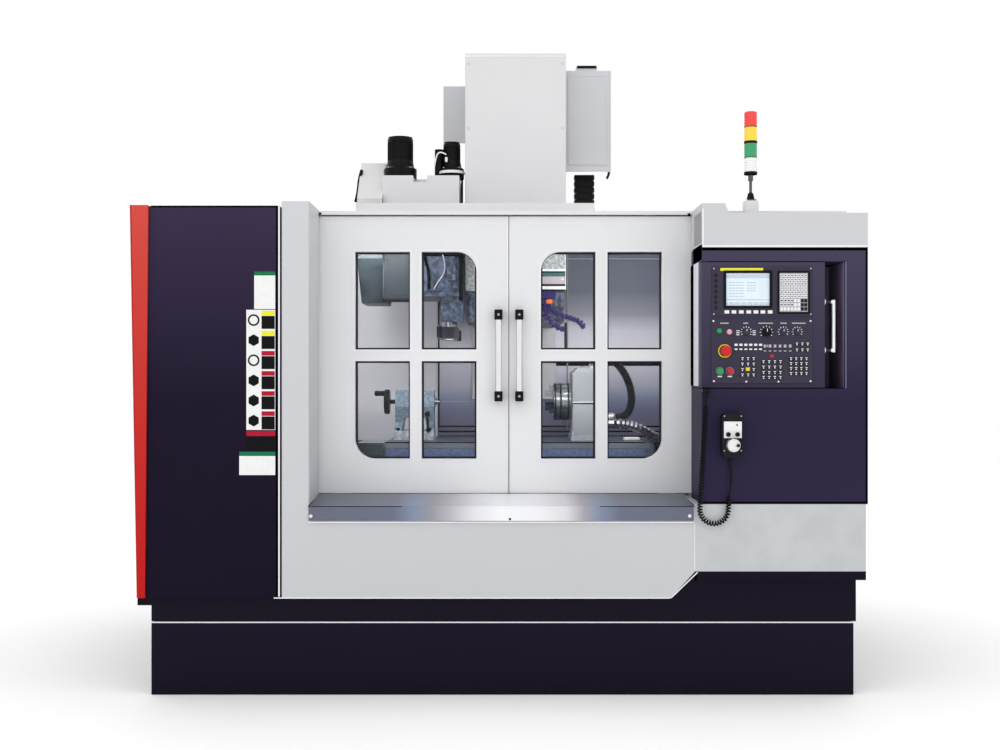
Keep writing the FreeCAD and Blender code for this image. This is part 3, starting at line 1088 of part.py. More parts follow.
def make_tower():
    """Signal tower: bracket block, thin pole and socket, with four stacked lenses above."""
    at = (S.tower_x, S.tower_y)
    foot = block("tower_foot", (S.tower_x - 19, S.tower_x + 19), (S.tower_y - 25, S.tower_y + 25),
                 (S.fascia_top, 2043))
    pole = rod("tower_pole", "z", at, 6, 2043, 2123)
    socket = rod("tower_socket", "z", at, 10.5, 2123, 2149)
    ring = rod("tower_ring", "z", at, S.tower_radius, 2149, 2161)
    collar = rod("tower_collar", "z", at, S.tower_radius - 2, 2279, 2290)
    node("signal_pole", group("tower_metal", fuse("tower_lower", foot, pole, socket, ring), collar))
    lenses = [rod(f"lens_{i}", "z", at, S.tower_radius, low, high)
              for i, (low, high) in enumerate(((2161, 2279), (2290, 2410)))]
    node("signal_lenses", group("lenses", *lenses))


def make_electric_cabinet():
    """Electrical cabinet on the column's back, with a hinged door."""
    x, z = (S.electric_left, S.electric_right), (S.electric_low, S.electric_top)
    shell = cut("electric_shell", block("electric_outer", x, (S.electric_front, S.electric_rear), z),
                block("electric_inner", inset(x[0], x[1], 12), (S.electric_front + 12, S.electric_rear + 1),
                      inset(z[0], z[1], 12)))
    plate = block("component_plate", (S.electric_left + 60, S.electric_right - 60),
                  (S.electric_front + 12, S.electric_front + 18), (S.electric_low + 80, S.electric_top - 80))
    node("electrical_cabinet", fuse("electric", shell, plate))
    door = body_of("electric_leaf", "XZ", rect(inset(x[0], x[1], 2), inset(z[0], z[1], 4)),
                   S.electric_rear + 0.5, S.rear_y)
    node("electrical_door", door)


make_tank()
make_skirt()
make_bed()
make_column()
make_guides()
make_left_enclosure()
make_trim()
make_front_frame()
make_sill()
make_door_rails()
make_control_cabinet()
make_cabinet_panels()
make_right_enclosure()
make_splash_walls()
make_door("left", (S.door_left, S.door_meet), (S.left_pane_a, S.left_pane_b, S.left_pane_c, S.left_pane_d))
make_door("right", (S.door_meet + S.door_gap, S.door_right),
          (S.right_pane_a, S.right_pane_b, S.right_pane_c, S.right_pane_d))
make_door_handle("left", S.left_handle_x)
make_door_handle("right", S.right_handle_x)
make_saddle()
make_table()
make_rotary()
make_tailstock()
make_hoses()
make_head()
make_head_boxes()
make_drag_chain()
make_nozzles()
make_changer()
make_console()
make_cord_and_gland()
make_pendant()
make_tower()
make_electric_cabinet()
doc.recompute()

failed = [f.Label for f in doc.Objects if {"Invalid", "Error"} & set(f.State)]
for feature in nodes:
    if feature.Shape.isNull() or not feature.Shape.isValid() or not feature.Shape.Solids:
        failed.append(feature.Label)
if failed:
    raise RuntimeError("these failed: " + ", ".join(failed))

os.makedirs("parts", exist_ok=True)
for feature in nodes:
    feature.Shape.exportStep(f"parts/{feature.Label}.step")
whole = Part.makeCompound([feature.Shape for feature in nodes]).BoundBox
print(f"{len(nodes)} sub-parts, X {whole.XMin:.1f} to {whole.XMax:.1f}, Y {whole.YMin:.1f} to {whole.YMax:.1f}, "
      f"Z {whole.ZMin:.1f} to {whole.ZMax:.1f}")
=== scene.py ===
import logging
import math
from collections.abc import Callable, Iterable, Iterator, Sequence
from contextlib import contextmanager
from dataclasses import dataclass, field
from enum import Enum

import bmesh
import bpy
from mathutils import Matrix, Vector


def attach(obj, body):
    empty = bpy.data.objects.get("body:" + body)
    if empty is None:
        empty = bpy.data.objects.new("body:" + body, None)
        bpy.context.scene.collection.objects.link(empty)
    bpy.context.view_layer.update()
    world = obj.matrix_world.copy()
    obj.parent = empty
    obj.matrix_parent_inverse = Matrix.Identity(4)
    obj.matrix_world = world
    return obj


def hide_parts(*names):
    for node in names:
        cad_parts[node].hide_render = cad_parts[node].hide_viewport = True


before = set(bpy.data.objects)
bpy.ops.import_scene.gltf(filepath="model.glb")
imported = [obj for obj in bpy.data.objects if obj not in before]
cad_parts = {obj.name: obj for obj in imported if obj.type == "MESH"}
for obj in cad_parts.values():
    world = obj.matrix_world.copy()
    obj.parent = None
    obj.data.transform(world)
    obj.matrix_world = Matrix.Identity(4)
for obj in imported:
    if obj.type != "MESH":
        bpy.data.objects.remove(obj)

LOG = logging.getLogger("machining_centre")
Point = tuple[float, float, float]
Pair = tuple[float, float]
Piece = bpy.types.Object
Colour = tuple[float, float, float]
MM = 0.001
LEFT, RIGHT = (-1, 0, 0), (1, 0, 0)
FRONT, BACK = (0, -1, 0), (0, 1, 0)
DOWN, UP = (0, 0, -1), (0, 0, 1)
PANE_CORNER = 0.086


def mm(*sizes: float) -> tuple[float, ...]:
    """Millimetres as metres."""
    return tuple(size * MM for size in sizes)


def around(count: int, radius: float, shift: float = 0.0) -> list[Pair]:
    """Places on a circle, the first turned by a share of their spacing."""
    turns = (math.tau * (k + shift) / count for k in range(count))
    return [(radius * math.cos(turn), radius * math.sin(turn)) for turn in turns]


def scaled(colour: Colour, factor: float) -> Colour:
    """A colour made darker or lighter by a factor, up to white."""
    return tuple(min(1.0, part * factor) for part in colour)


class Axis(Enum):
    """The machine's axes, as unit directions."""

    X = (1.0, 0.0, 0.0)
    Y = (0.0, 1.0, 0.0)
    Z = (0.0, 0.0, 1.0)


# ------------------------------------------------------------------ shader graph

class Wire:
    """A value in a finish, on which Python's operators add Math nodes."""

    def __init__(self, graph: "Graph", socket: bpy.types.NodeSocket) -> None:
        """Hold a socket and the graph that it is in."""
        self.graph, self.socket = graph, socket

    def maths(self, operation: str, *terms: object) -> "Wire":
        """Add one Math node.

        Args:
            operation: the node's operation.
            terms: its inputs in order, wires or numbers.

        Returns:
            The node's result.
        """
        return self.graph.add("ShaderNodeMath", {"operation": operation}, dict(enumerate(terms)))

    def __add__(self, other: object) -> "Wire":
        """Sum."""
        return self.maths("ADD", self, other)

    __radd__ = __add__

    def __sub__(self, other: object) -> "Wire":
        """Difference."""
        return self.maths("SUBTRACT", self, other)

    def __rsub__(self, other: object) -> "Wire":
        """Difference from a number."""
        return self.maths("SUBTRACT", other, self)

    def __mul__(self, other: object) -> "Wire":
        """Product."""
        return self.maths("MULTIPLY", self, other)

    __rmul__ = __mul__

    def __gt__(self, other: object) -> "Wire":
        """1 where this is greater."""
        return self.maths("GREATER_THAN", self, other)

    def __lt__(self, other: object) -> "Wire":
        """1 where this is less."""
        return self.maths("LESS_THAN", self, other)

    def wave(self, pitch: float) -> "Wire":
        """A sine of the value, from 0 to 1, that repeats every pitch."""
        return self.maths("SINE", self * (math.tau / pitch)) * 0.5 + 0.5

    def between(self, low: float, high: float) -> "Wire":
        """1 where the value lies between two numbers."""
        return (self > low) * (self < high)


class Graph:
    """The node tree of one finish, around one Principled shader."""

    def __init__(self, name: str) -> None:
        """Start an empty material with its shader and output."""
        self.material = bpy.data.materials.new(name)
        self.material.use_nodes = True
        self.tree = self.material.node_tree
        self.tree.nodes.clear()
        self.shader = self.tree.nodes.new("ShaderNodeBsdfPrincipled")
        out = self.tree.nodes.new("ShaderNodeOutputMaterial")
        self.tree.links.new(self.shader.outputs["BSDF"], out.inputs["Surface"])

    def add(
        self, kind: str, settings: dict[str, object] | None = None,
        inputs: dict[int | str, object] | None = None, out: int | str = 0,
    ) -> Wire:
        """Add a node of any other type.

        Args:
            kind: the node's type.
            settings: its own settings; stops are a colour ramp's places and colours.
            inputs: wires or constants for its sockets.
            out: the output wanted.

        Returns:
            That output.
        """
        made = self.tree.nodes.new(kind)
        for name, value in (settings or {}).items():
            if name == "stops":
                self._fill_ramp(made, value)
            else:
                setattr(made, name, value)
        for key, value in (inputs or {}).items():
            if isinstance(value, Wire):
                self.tree.links.new(value.socket, made.inputs[key])
            else:
                made.inputs[key].default_value = value
        return Wire(self, made.outputs[out])

    @staticmethod
    def _fill_ramp(ramp: bpy.types.Node, stops: Sequence[tuple[float, Colour]]) -> None:
        """Set a colour ramp's stops."""
        elements = ramp.color_ramp.elements
        while len(elements) < len(stops):
            elements.new(1.0)
        for element, (place, colour) in zip(elements, stops):
            element.position = place
            element.color = (*colour, 1.0)

    def set(self, **sockets: object) -> None:
        """Set the shader's own sockets, with underscores for spaces in their names."""
        for name, value in sockets.items():
            socket = self.shader.inputs[name.replace("_", " ")]
            if isinstance(value, Wire):
                self.tree.links.new(value.socket, socket)
            else:
                socket.default_value = value

    def place(self, stretch: Point = (1.0, 1.0, 1.0)) -> Wire:
        """The point on the object in metres, stretched along the axes."""
        here = self.add("ShaderNodeTexCoord", out="Object")
        if stretch == (1.0, 1.0, 1.0):
            return here
        return self.add("ShaderNodeMapping", {"vector_type": "POINT"}, {"Vector": here, "Scale": stretch})

    def along(self, axis: Axis) -> Wire:
        """The point's coordinate along an axis, in metres."""
        return self.add("ShaderNodeSeparateXYZ", None, {0: self.place()}, list(Axis).index(axis))

    def noise(self, scale: float, detail: float = 2.0, stretch: Point = (1.0, 1.0, 1.0)) -> Wire:
        """Smooth noise from 0 to 1, with scale in features per metre."""
        return self.add("ShaderNodeTexNoise", None, {"Vector": self.place(stretch), "Scale": scale,
            "Detail": detail})

    def blend(self, share: object, first: object, second: object) -> Wire:
        """Mix two colours."""
        colours = [c if isinstance(c, Wire) else (*c, 1.0) for c in (first, second)]
        return self.add("ShaderNodeMix", {"data_type": "RGBA"}, {0: share, 6: colours[0], 7: colours[1]}, 2)

    def ramp(self, value: Wire, stops: Sequence[tuple[float, Colour]], sharp: bool = False) -> Wire:
        """Colour by a value from 0 to 1."""
        made = self.add("ShaderNodeValToRGB", {"stops": stops}, {0: value})
        made.socket.node.color_ramp.interpolation = "CONSTANT" if sharp else "LINEAR"
        return made

    def relief(self, height: Wire, depth: float) -> None:
        """Raise the surface by a height from 0 to 1 times a depth in metres."""
        self.set(Normal=self.add("ShaderNodeBump", None, {"Height": height, "Distance": depth,
            "Strength": 1.0}))


@dataclass(frozen=True)
class Finish:
    """A surface finish. Its material is made once and shared."""

    name: str
    slot: str
    colour: Colour

    def paint(self, graph: Graph) -> None:
        """Build the finish on an empty graph."""
        raise NotImplementedError

    def material(self) -> bpy.types.Material:
        """The finish's material, made at its first use."""
        made = bpy.data.materials.get(self.name)
        if made is None:
            graph = Graph(self.name)
            self.paint(graph)
            made = graph.material
        return made

    def mottled(self, graph: Graph, amount: float, scale: float = 3.0) -> Wire:
        """The finish's colour, a little lighter and darker in soft patches."""
        tones = scaled(self.colour, 1.0 - amount), scaled(self.colour, 1.0 + amount)
        return graph.blend(graph.noise(scale, 3.0), *tones)

    @staticmethod
    def graded(graph: Graph, stops: Sequence[tuple[float, Colour]]) -> Wire:
        """Colour by height in metres, over the first two metres above the floor."""
        return graph.ramp(graph.along(Axis.Z) * 0.5, [(height * 0.5, colour) for height, colour in stops])


@dataclass(frozen=True)
class PowderCoat(Finish):
    """Stoved paint on sheet: orange peel, and dust that dulls it in patches."""

    roughness: float = 0.4
    peel: float = 420.0
    depth: float = 0.00005
    shade: float = 0.05
    painted_light_by_height: float = 0.0
    gloss: float = 0.35

    def paint(self, graph: Graph) -> None:
        """Build the finish, its tone scaled towards the floor by a factor of painted light if wanted."""
        tone = self.mottled(graph, self.shade)
        if self.painted_light_by_height:
            tone = graph.blend(graph.along(Axis.Z) * 0.5, scaled(self.colour, 1.0 + self.painted_light_by_height), tone)
        graph.set(Base_Color=tone, Specular_IOR_Level=self.gloss, Roughness=graph.noise(9.0, 4.0) * 0.12
            + (self.roughness - 0.06))
        graph.relief(graph.noise(self.peel, 2.0), self.depth)


@dataclass(frozen=True)
class TwoToneAndPaintedShade(PowderCoat):
    """Stoved paint that changes to a darker tone below a height; on the magazine cover and cam box that
    darker tone is painted shade.
    """

    split: float = 2.0
    under: Colour = (0.15, 0.18, 0.2)
    patch: float = 0.4
    grain: float = 9.0

    def paint(self, graph: Graph) -> None:
        """Build the finish."""
        super().paint(graph)
        patches = graph.blend((graph.noise(self.grain, 4.0) - 0.4) * 5.0, scaled(self.under, 1 - self.patch),
            scaled(self.under, 1 + self.patch))
        graph.set(Base_Color=graph.blend(graph.along(Axis.Z) < self.split, self.mottled(graph, self.shade),
            patches))


@dataclass(frozen=True)
class DarkPanel(Finish):
    """Dark purple-grey coat with its tone graded by height in painted light and shade, on most panels lighter
    towards the top where the bright hall reflects in it.
    """

    stops: tuple[tuple[float, Colour], ...] = ()
    gloss: float = 0.09

    def paint(self, graph: Graph) -> None:
        """Build the finish."""
        grain = graph.noise(700.0, 2.0)
        graph.set(Base_Color=graph.blend(graph.noise(5.0, 3.0) * 0.12, self.graded(graph, self.stops),
            self.colour), Roughness=grain * 0.1 + 0.42, Specular_IOR_Level=self.gloss)
        graph.relief(grain, 0.00006)


@dataclass(frozen=True)
class TrimPaint(Finish):
    """Red paint of the corner trim, with painted light and shade: brighter towards the top, and a dark band
    of painted shade on its outer side.
    """

    foot: Colour = (0.48, 0.002, 0.003)
    band: Colour = (0.40, 0.008, 0.006)

    def paint(self, graph: Graph) -> None:
        """Build the finish."""
        height = graph.along(Axis.Z) * 0.5
        # Painted light: the red brightens towards the top.
        graded = graph.blend(height * height, self.foot, self.colour)
        # Painted shade: a darker band on the trim's outer side, its edge slanting with height.
        edge = graph.along(Axis.X) + height * 0.034
        graph.set(Base_Color=graph.blend(edge < -1.462, graded, self.band),
            Roughness=graph.noise(12.0, 3.0) * 0.08 + 0.3, Specular_IOR_Level=0.15)
        graph.relief(graph.noise(500.0, 2.0), 0.00004)


@dataclass(frozen=True)
class CastPaint(Finish):
    """Thick enamel over a casting's skin, with another tone below a height if wanted."""

    split: float = -1.0
    under: Colour = (0.1, 0.1, 0.1)
    speckle: float = 0.15
    patch: float = 0.65

    def paint(self, graph: Graph) -> None:
        """Build the finish."""
        skin = graph.noise(160.0, 5.0)
        tone = graph.blend((graph.noise(70.0, 4.0) - 0.42) * 6.0, scaled(self.colour, 1 - self.speckle),
            self.colour)
        if self.split > 0.0:
            patches = graph.blend((graph.noise(45.0, 4.0) - 0.42) * 6.0, scaled(self.under, 1 - self.patch),
                scaled(self.under, 1 + self.patch))
            tone = graph.blend(graph.along(Axis.Z) < self.split, tone, patches)
        graph.set(Base_Color=tone, Roughness=skin * 0.2 + 0.35, Specular_IOR_Level=0.35)
        graph.relief(skin + graph.noise(30.0, 2.0), 0.0006)


@dataclass(frozen=True)
class Brushed(Finish):
    """Bare metal with a fine grain along one axis."""

    grain: Axis = Axis.X
    roughness: float = 0.32
    shade: float = 0.1

    def paint(self, graph: Graph) -> None:
        """Build the finish."""
        stretch = tuple(0.02 if part else 1.0 for part in self.grain.value)
        lines = graph.noise(900.0, 3.0, stretch)
        tone = graph.blend(lines, scaled(self.colour, 1 - self.shade), scaled(self.colour, 1 + self.shade))
        graph.set(Base_Color=tone, Metallic=1.0, Roughness=lines * 0.16 + (self.roughness - 0.08))
        graph.relief(lines, 0.00002)


@dataclass(frozen=True)
class GrabPaint(Brushed):
    """Brushed bar between black end brackets, parted at an X."""

    parting: float = 1.358

    def paint(self, graph: Graph) -> None:
        """Build the finish."""
        super().paint(graph)
        bar = graph.along(Axis.X) > self.parting
        graph.set(Base_Color=graph.blend(bar, (0.004, 0.004, 0.006), self.mottled(graph, 0.05)),
            Metallic=bar * 0.5)


@dataclass(frozen=True)
class BandedSteel(Finish):
    """Stainless sheet with painted reflection: its tone runs in bands along one axis, as bright sheet mirrors
    a hall.
    """

    axis: Axis = Axis.Z
    low: float = 0.0
    high: float = 1.0
    bands: tuple[tuple[float, Colour], ...] = ()
    metallic: float = 0.55
    roughness: float = 0.3

    def paint(self, graph: Graph) -> None:
        """Build the finish."""
        share = (graph.along(self.axis) - self.low) * (1.0 / (self.high - self.low))
        lines = graph.noise(700.0, 3.0, (0.02, 1.0, 1.0))
        graph.set(Base_Color=graph.blend(lines * 0.15, graph.ramp(share, self.bands), self.colour),
            Metallic=self.metallic, Roughness=lines * 0.12 + (self.roughness - 0.06))
        graph.relief(lines, 0.00002)


@dataclass(frozen=True)
class GroundIron(Finish):
    """Ground table iron: crossed grinding marks, an oil film in patches, and another tone on its side."""

    side: Colour = (0.14, 0.19, 0.35)
    side_top: float = 0.965

    def paint(self, graph: Graph) -> None:
        """Build the finish."""
        marks = graph.noise(500.0, 2.0, (0.03, 1.0, 1.0)) + graph.noise(350.0, 2.0, (1.0, 0.05, 1.0))
        film = graph.noise(11.0, 4.0)
        top = graph.blend(film, scaled(self.colour, 0.6), self.colour)
        flank = graph.blend(graph.noise(60.0, 4.0), scaled(self.side, 0.5), scaled(self.side, 1.6))
        graph.set(Base_Color=graph.blend(graph.along(Axis.Z) < self.side_top, top, flank), Metallic=0.4,
            Roughness=marks * 0.1 + 0.26)
        graph.relief(marks, 0.00003)


@dataclass(frozen=True)
class Polished(Finish):
    """Ground and polished steel, with faint turning marks."""

    roughness: float = 0.18

    def paint(self, graph: Graph) -> None:
        """Build the finish."""
        marks = graph.noise(260.0, 3.0, (4.0, 0.2, 0.2))
        graph.set(Base_Color=self.mottled(graph, 0.06, 20.0), Metallic=1.0, Roughness=marks * 0.12
            + (self.roughness - 0.04))
        graph.relief(marks, 0.00002)


@dataclass(frozen=True)
class Moulded(Finish):
    """Moulded plastic with a fine spark-eroded grain."""

    roughness: float = 0.42
    grain: float = 1500.0
    coat: float = 0.0
    gloss: float = 0.2

    def paint(self, graph: Graph) -> None:
        """Build the finish."""
        grain = graph.noise(self.grain, 2.0)
        graph.set(Base_Color=self.mottled(graph, 0.07, 30.0), Roughness=grain * 0.1 + (self.roughness - 0.05),
            Specular_IOR_Level=self.gloss)
        if self.coat:
            graph.set(Coat_Weight=self.coat, Coat_Roughness=0.08)
        graph.relief(grain, 0.00003)


@dataclass(frozen=True)
class Jacket(Finish):
    """Rubber or soft plastic cable jacket: dull, with fine rub marks."""

    def paint(self, graph: Graph) -> None:
        """Build the finish."""
        rub = graph.noise(240.0, 4.0)
        graph.set(Base_Color=graph.blend(rub, self.colour, scaled(self.colour, 2.0)), Roughness=rub * 0.2
            + 0.42, Specular_IOR_Level=0.15)
        graph.relief(rub, 0.0001)


@dataclass(frozen=True)
class Pane(Finish):
    """Clear laminated window with a faint haze."""

    def paint(self, graph: Graph) -> None:
        """Build the finish."""
        haze = graph.noise(6.0, 3.0)
        graph.set(Base_Color=self.colour + (1.0,), Roughness=haze * 0.04 + 0.03, Alpha=haze * 0.01 + 0.008,
            Specular_IOR_Level=0.25)


@dataclass(frozen=True)
class LensStack(Finish):
    """Ribbed lenses, each height in its own colour."""

    low: float = 2.161
    high: float = 2.410
    stops: tuple[tuple[float, Colour], ...] = ((0.0, (0.80, 0.82, 0.80)), (0.237, (0.0, 0.30, 0.10)),
        (0.5, (0.95, 0.62, 0.02)), (0.755, (0.80, 0.02, 0.01)))

    def paint(self, graph: Graph) -> None:
        """Build the finish."""
        height = graph.along(Axis.Z)
        share = (height - self.low) * (1.0 / (self.high - self.low))
        tone = graph.ramp(share, self.stops, sharp=True)
        rings = height.wave(0.0095)
        graph.set(Base_Color=graph.blend(rings * 0.3, tone, graph.blend(0.5, tone, (0.02, 0.02, 0.02))),
            Roughness=rings * 0.1 + 0.12, Coat_Weight=0.6, Emission_Color=tone, Emission_Strength=0.12)
        graph.relief(rings, 0.0012)


@dataclass(frozen=True)
class Display(Finish):
    """A lit screen: a plain page with a darker heading, two columns of rows and a side column."""

    def paint(self, graph: Graph) -> None:
        """Build the finish."""
        across, up = graph.along(Axis.X), graph.along(Axis.Z)
        rows = up.wave(0.0112) > 0.62
        left = across.between(0.938, 1.000) * up.between(1.622, 1.690)
        right = across.between(1.010, 1.050) * up.between(1.640, 1.690)
        keys = (across.wave(0.0248) > 0.06) * up.between(1.592, 1.604)
        cells = (across.wave(0.0062) > 0.3) * rows
        marks = cells * (left + right) * 0.6 + up.between(1.700,
            1.714) * 0.35 + keys * 0.3 + up.between(1.611, 1.615) * 0.5
        side = across.between(1.060, 1.098) * up.between(1.622, 1.694)
        page = graph.blend(marks, self.colour, (0.20, 0.26, 0.36))
        lit = graph.blend(side * 0.35, page, (0.55, 0.62, 0.72))
        graph.set(Base_Color=lit, Emission_Color=lit, Emission_Strength=0.12, Specular_IOR_Level=0.2,
            Roughness=graph.noise(40.0, 2.0) * 0.05 + 0.12)


class Shop:
    """The machine's finishes, by the name a painter or fitter would use."""

    # Painted shade: the light coat darkens a little towards the floor.
    light = PowderCoat("light_grey_coat", "light_panel", (0.565, 0.57, 0.59), 0.42, painted_light_by_height=-0.05)
    apron = TwoToneAndPaintedShade("apron_grey_coat", "light_panel", (0.56, 0.565, 0.58), 0.42, split=1.2,
        under=(0.50, 0.52, 0.535), patch=0.04)
    # Painted light: the door coat grows lighter towards the floor.
    door = PowderCoat("door_grey_coat", "door_paint", (0.73, 0.735, 0.75), 0.38, painted_light_by_height=0.16)
    roof = PowderCoat("rail_cover_coat", "light_panel", (0.71, 0.71, 0.73), 0.42)
    head = PowderCoat("head_grey_coat", "head_grey", (0.675, 0.675, 0.685), 0.4)
    box = PowderCoat("box_grey_coat", "head_grey", (0.56, 0.565, 0.585), 0.42)
    # Painted light: the dark coats below grow lighter towards the top, standing in for the hall's reflection.
    dark = DarkPanel("dark_purple_coat", "dark_panel", (0.024, 0.016, 0.040),
        ((0.30, (0.003, 0.001, 0.010)), (1.20, (0.007, 0.003, 0.017)), (1.96, (0.034, 0.023, 0.058))))
    cabinet = DarkPanel("cabinet_purple_coat", "dark_panel", (0.030, 0.024, 0.050),
        ((0.60, (0.022, 0.016, 0.048)), (1.20, (0.020, 0.015, 0.044)), (1.60, (0.045, 0.036, 0.078)),
        (1.90, (0.062, 0.053, 0.095))))
    base = DarkPanel("base_coat", "base_grey", (0.016, 0.011, 0.024),
        ((0.0, (0.004, 0.002, 0.010)), (0.25, (0.006, 0.003, 0.014)), (0.40, (0.008, 0.005, 0.016))))
    # Painted shade: the skirt darkens towards its top, under the fascia.
    skirt = DarkPanel("skirt_coat", "dark_base", (0.010, 0.007, 0.016),
        ((0.25, (0.006, 0.004, 0.012)), (0.45, (0.004, 0.002, 0.010))))
    # Painted shade, mostly: this black fills gaps, folds and shaded edges; it is also the black of a few real
    # parts.
    void = DarkPanel("black_rubber_and_painted_shade", "dark_base", (0.002, 0.002, 0.003),
        ((0.0, (0.002, 0.002, 0.003)), (1.0, (0.001, 0.001, 0.002))), 0.0)
    # Painted light: a lighter coat for the console bay's recess, lighter still towards the top.
    bay = DarkPanel("bay_painted_light_coat", "dark_panel", (0.16, 0.13, 0.20),
        ((1.2, (0.11, 0.07, 0.13)), (1.8, (0.20, 0.17, 0.26))))
    trim = TrimPaint("trim_red_coat", "trim_red", (0.60, 0.062, 0.046))
    casting = CastPaint("casting_enamel", "casting_green", (0.42, 0.45, 0.45))
    # The head casting's dark blue-grey tone below 1.695 m is a darker chin, with painted shade and blue
    # reflection in its tone.
    head_casting = CastPaint("head_casting_enamel_and_painted_shade", "casting_green", (0.46, 0.50, 0.50), 1.695,
        (0.07, 0.085, 0.13), 0.45)
    # Painted shade: the slate tone of the chin plate and cam box valve holds shade and blue reflection.
    slate = CastPaint("slate_enamel_and_painted_shade", "gearbox_grey", (0.09, 0.11, 0.18), 3.0, (0.07, 0.09, 0.145))
    rotary = CastPaint("rotary_enamel", "rotary_paint", (0.40, 0.42, 0.45))
    tailstock = CastPaint("tailstock_enamel", "rotary_paint", (0.21, 0.285, 0.37), 1.043, (0.42, 0.45, 0.49),
        0.35, 0.35)
    # Painted shade: the magazine cover and cam box are light grey, and their dark tone below 1.99 m stands in
    # for the shade inside the enclosure; the table's end cover takes the same dark tone.
    drum = TwoToneAndPaintedShade("magazine_cover_coat", "head_grey", (0.60, 0.605, 0.60), 0.45, split=1.99,
        under=(0.052, 0.070, 0.080), patch=0.3)
    cam_box = TwoToneAndPaintedShade("cam_box_coat", "head_grey", (0.68, 0.68, 0.69), 0.42, split=1.99,
        under=(0.036, 0.052, 0.090), patch=0.7, grain=40.0)
    # Painted shade: the cam box's left lid takes the dark tone of the shaded casting.
    drum_lid = PowderCoat("cam_box_lid_painted_shade", "head_grey", (0.020, 0.028, 0.035), 0.45, gloss=0.25)
    # Painted reflection: the sill's tone runs from dark blue-grey ends to a white middle.
    sill = BandedSteel("sill_steel", "stainless", (0.62, 0.63, 0.66), Axis.X, -0.775, 0.794,
        ((0.0, (0.075, 0.085, 0.14)), (0.22, (0.09, 0.105, 0.17)), (0.27, (0.16, 0.22, 0.34)),
        (0.32, (0.26, 0.26, 0.30)), (0.37, (0.46, 0.44, 0.48)), (0.43, (0.74, 0.74, 0.78)),
        (0.50, (0.88, 0.89, 0.91)), (0.60, (0.84, 0.84, 0.87)), (0.67, (0.68, 0.67, 0.70)),
        (0.715, (0.34, 0.32, 0.36)), (0.755, (0.17, 0.22, 0.34)), (0.81, (0.09, 0.105, 0.17)),
        (1.0, (0.075, 0.085, 0.14))), 0.35, 0.34)
    guard = PowderCoat("guard_sheet_coat", "light_panel", (0.92, 0.92, 0.96), 0.45)
    # Painted reflection and shade: the lining is light in a band at mid height and dark above and below it.
    lining = BandedSteel("lining_steel", "stainless", (0.26, 0.26, 0.32), Axis.Z, 0.64, 1.96,
        ((0.0, (0.13, 0.13, 0.20)), (0.28, (0.14, 0.145, 0.23)), (0.365, (0.17, 0.18, 0.30)),
        (0.41, (0.26, 0.30, 0.46)), (0.46, (0.50, 0.52, 0.62)), (0.53, (0.66, 0.67, 0.76)),
        (0.62, (0.75, 0.75, 0.82)), (0.68, (0.62, 0.62, 0.69)), (0.745, (0.25, 0.25, 0.30)),
        (0.84, (0.075, 0.085, 0.13)), (1.0, (0.064, 0.070, 0.12))), 0.15, 0.42)
    cover = Brushed("cover_steel_sheet", "cover_steel", (0.42, 0.43, 0.46), Axis.X, 0.34)
    aluminium = Brushed("satin_aluminium", "cover_steel", (0.78, 0.78, 0.80), Axis.Z, 0.36)
    rail = Brushed("rail_ground_steel", "rail_steel", (0.55, 0.56, 0.58), Axis.Z, 0.24)
    iron = GroundIron("table_ground_iron", "table_iron", (0.09, 0.10, 0.145))
    land = Brushed("table_land_steel", "table_iron", (0.24, 0.275, 0.32), Axis.X, 0.36)
    grab = GrabPaint("grab_bar_aluminium", "cover_steel", (0.86, 0.86, 0.88), Axis.Z, 0.42)
    bright = Polished("bright_steel", "ground_steel", (0.68, 0.69, 0.71), 0.2)
    blackened = Polished("blackened_steel", "arm_steel", (0.03, 0.03, 0.045), 0.34)
    quill = Polished("quill_steel", "ground_steel", (0.34, 0.36, 0.40), 0.26)
    chuck = Polished("chuck_steel", "ground_steel", (0.23, 0.25, 0.26), 0.22)
    rotary_cover = PowderCoat("rotary_cover_coat", "rotary_paint", (0.335, 0.355, 0.385), 0.42)
    bolt = Polished("bolt_steel", "ground_steel", (0.45, 0.46, 0.48), 0.3)
    pole = Polished("pole_steel_tube", "pole_steel", (0.10, 0.10, 0.11), 0.22)
    # Painted highlight on the left jamb's shaded inner face.
    edging = Brushed("bright_steel_painted_highlight", "light_panel", (0.93, 0.93, 0.94), Axis.Z, 0.3, 0.04)
    hose_metal = Polished("hose_wound_steel", "hose_metal", (0.24, 0.24, 0.27), 0.2)
    motor = PowderCoat("motor_black_enamel", "black_motor", (0.003, 0.003, 0.004), 0.28, 600.0, 0.00004,
        gloss=0.12)
    cable = Jacket("cable_jacket", "cord_black", (0.003, 0.003, 0.004))
    blue_hose = Moulded("hose_blue_plastic", "hose_blue", (0.022, 0.012, 0.10), 0.3)
    orange = Moulded("hose_orange_plastic", "hose_blue", (0.75, 0.17, 0.03), 0.35)
    black = Moulded("black_plastic", "dial_black", (0.004, 0.004, 0.005), 0.4, gloss=0.12)
    handle = Moulded("handle_black_plastic", "handle_black", (0.004, 0.004, 0.006), 0.38, gloss=0.12)
    chain = Moulded("chain_black_plastic", "chain_black", (0.005, 0.005, 0.006), 0.45, gloss=0.12)
    pendant = Moulded("pendant_plastic", "pendant_black", (0.008, 0.007, 0.010), 0.4, gloss=0.15)
    magazine = Moulded("pot_plastic", "magazine_black", (0.035, 0.035, 0.04), 0.45)
    gasket = Jacket("window_gasket", "cord_black", (0.012, 0.012, 0.013))
    face = Moulded("console_membrane", "console_face", (0.036, 0.030, 0.056), 0.5)
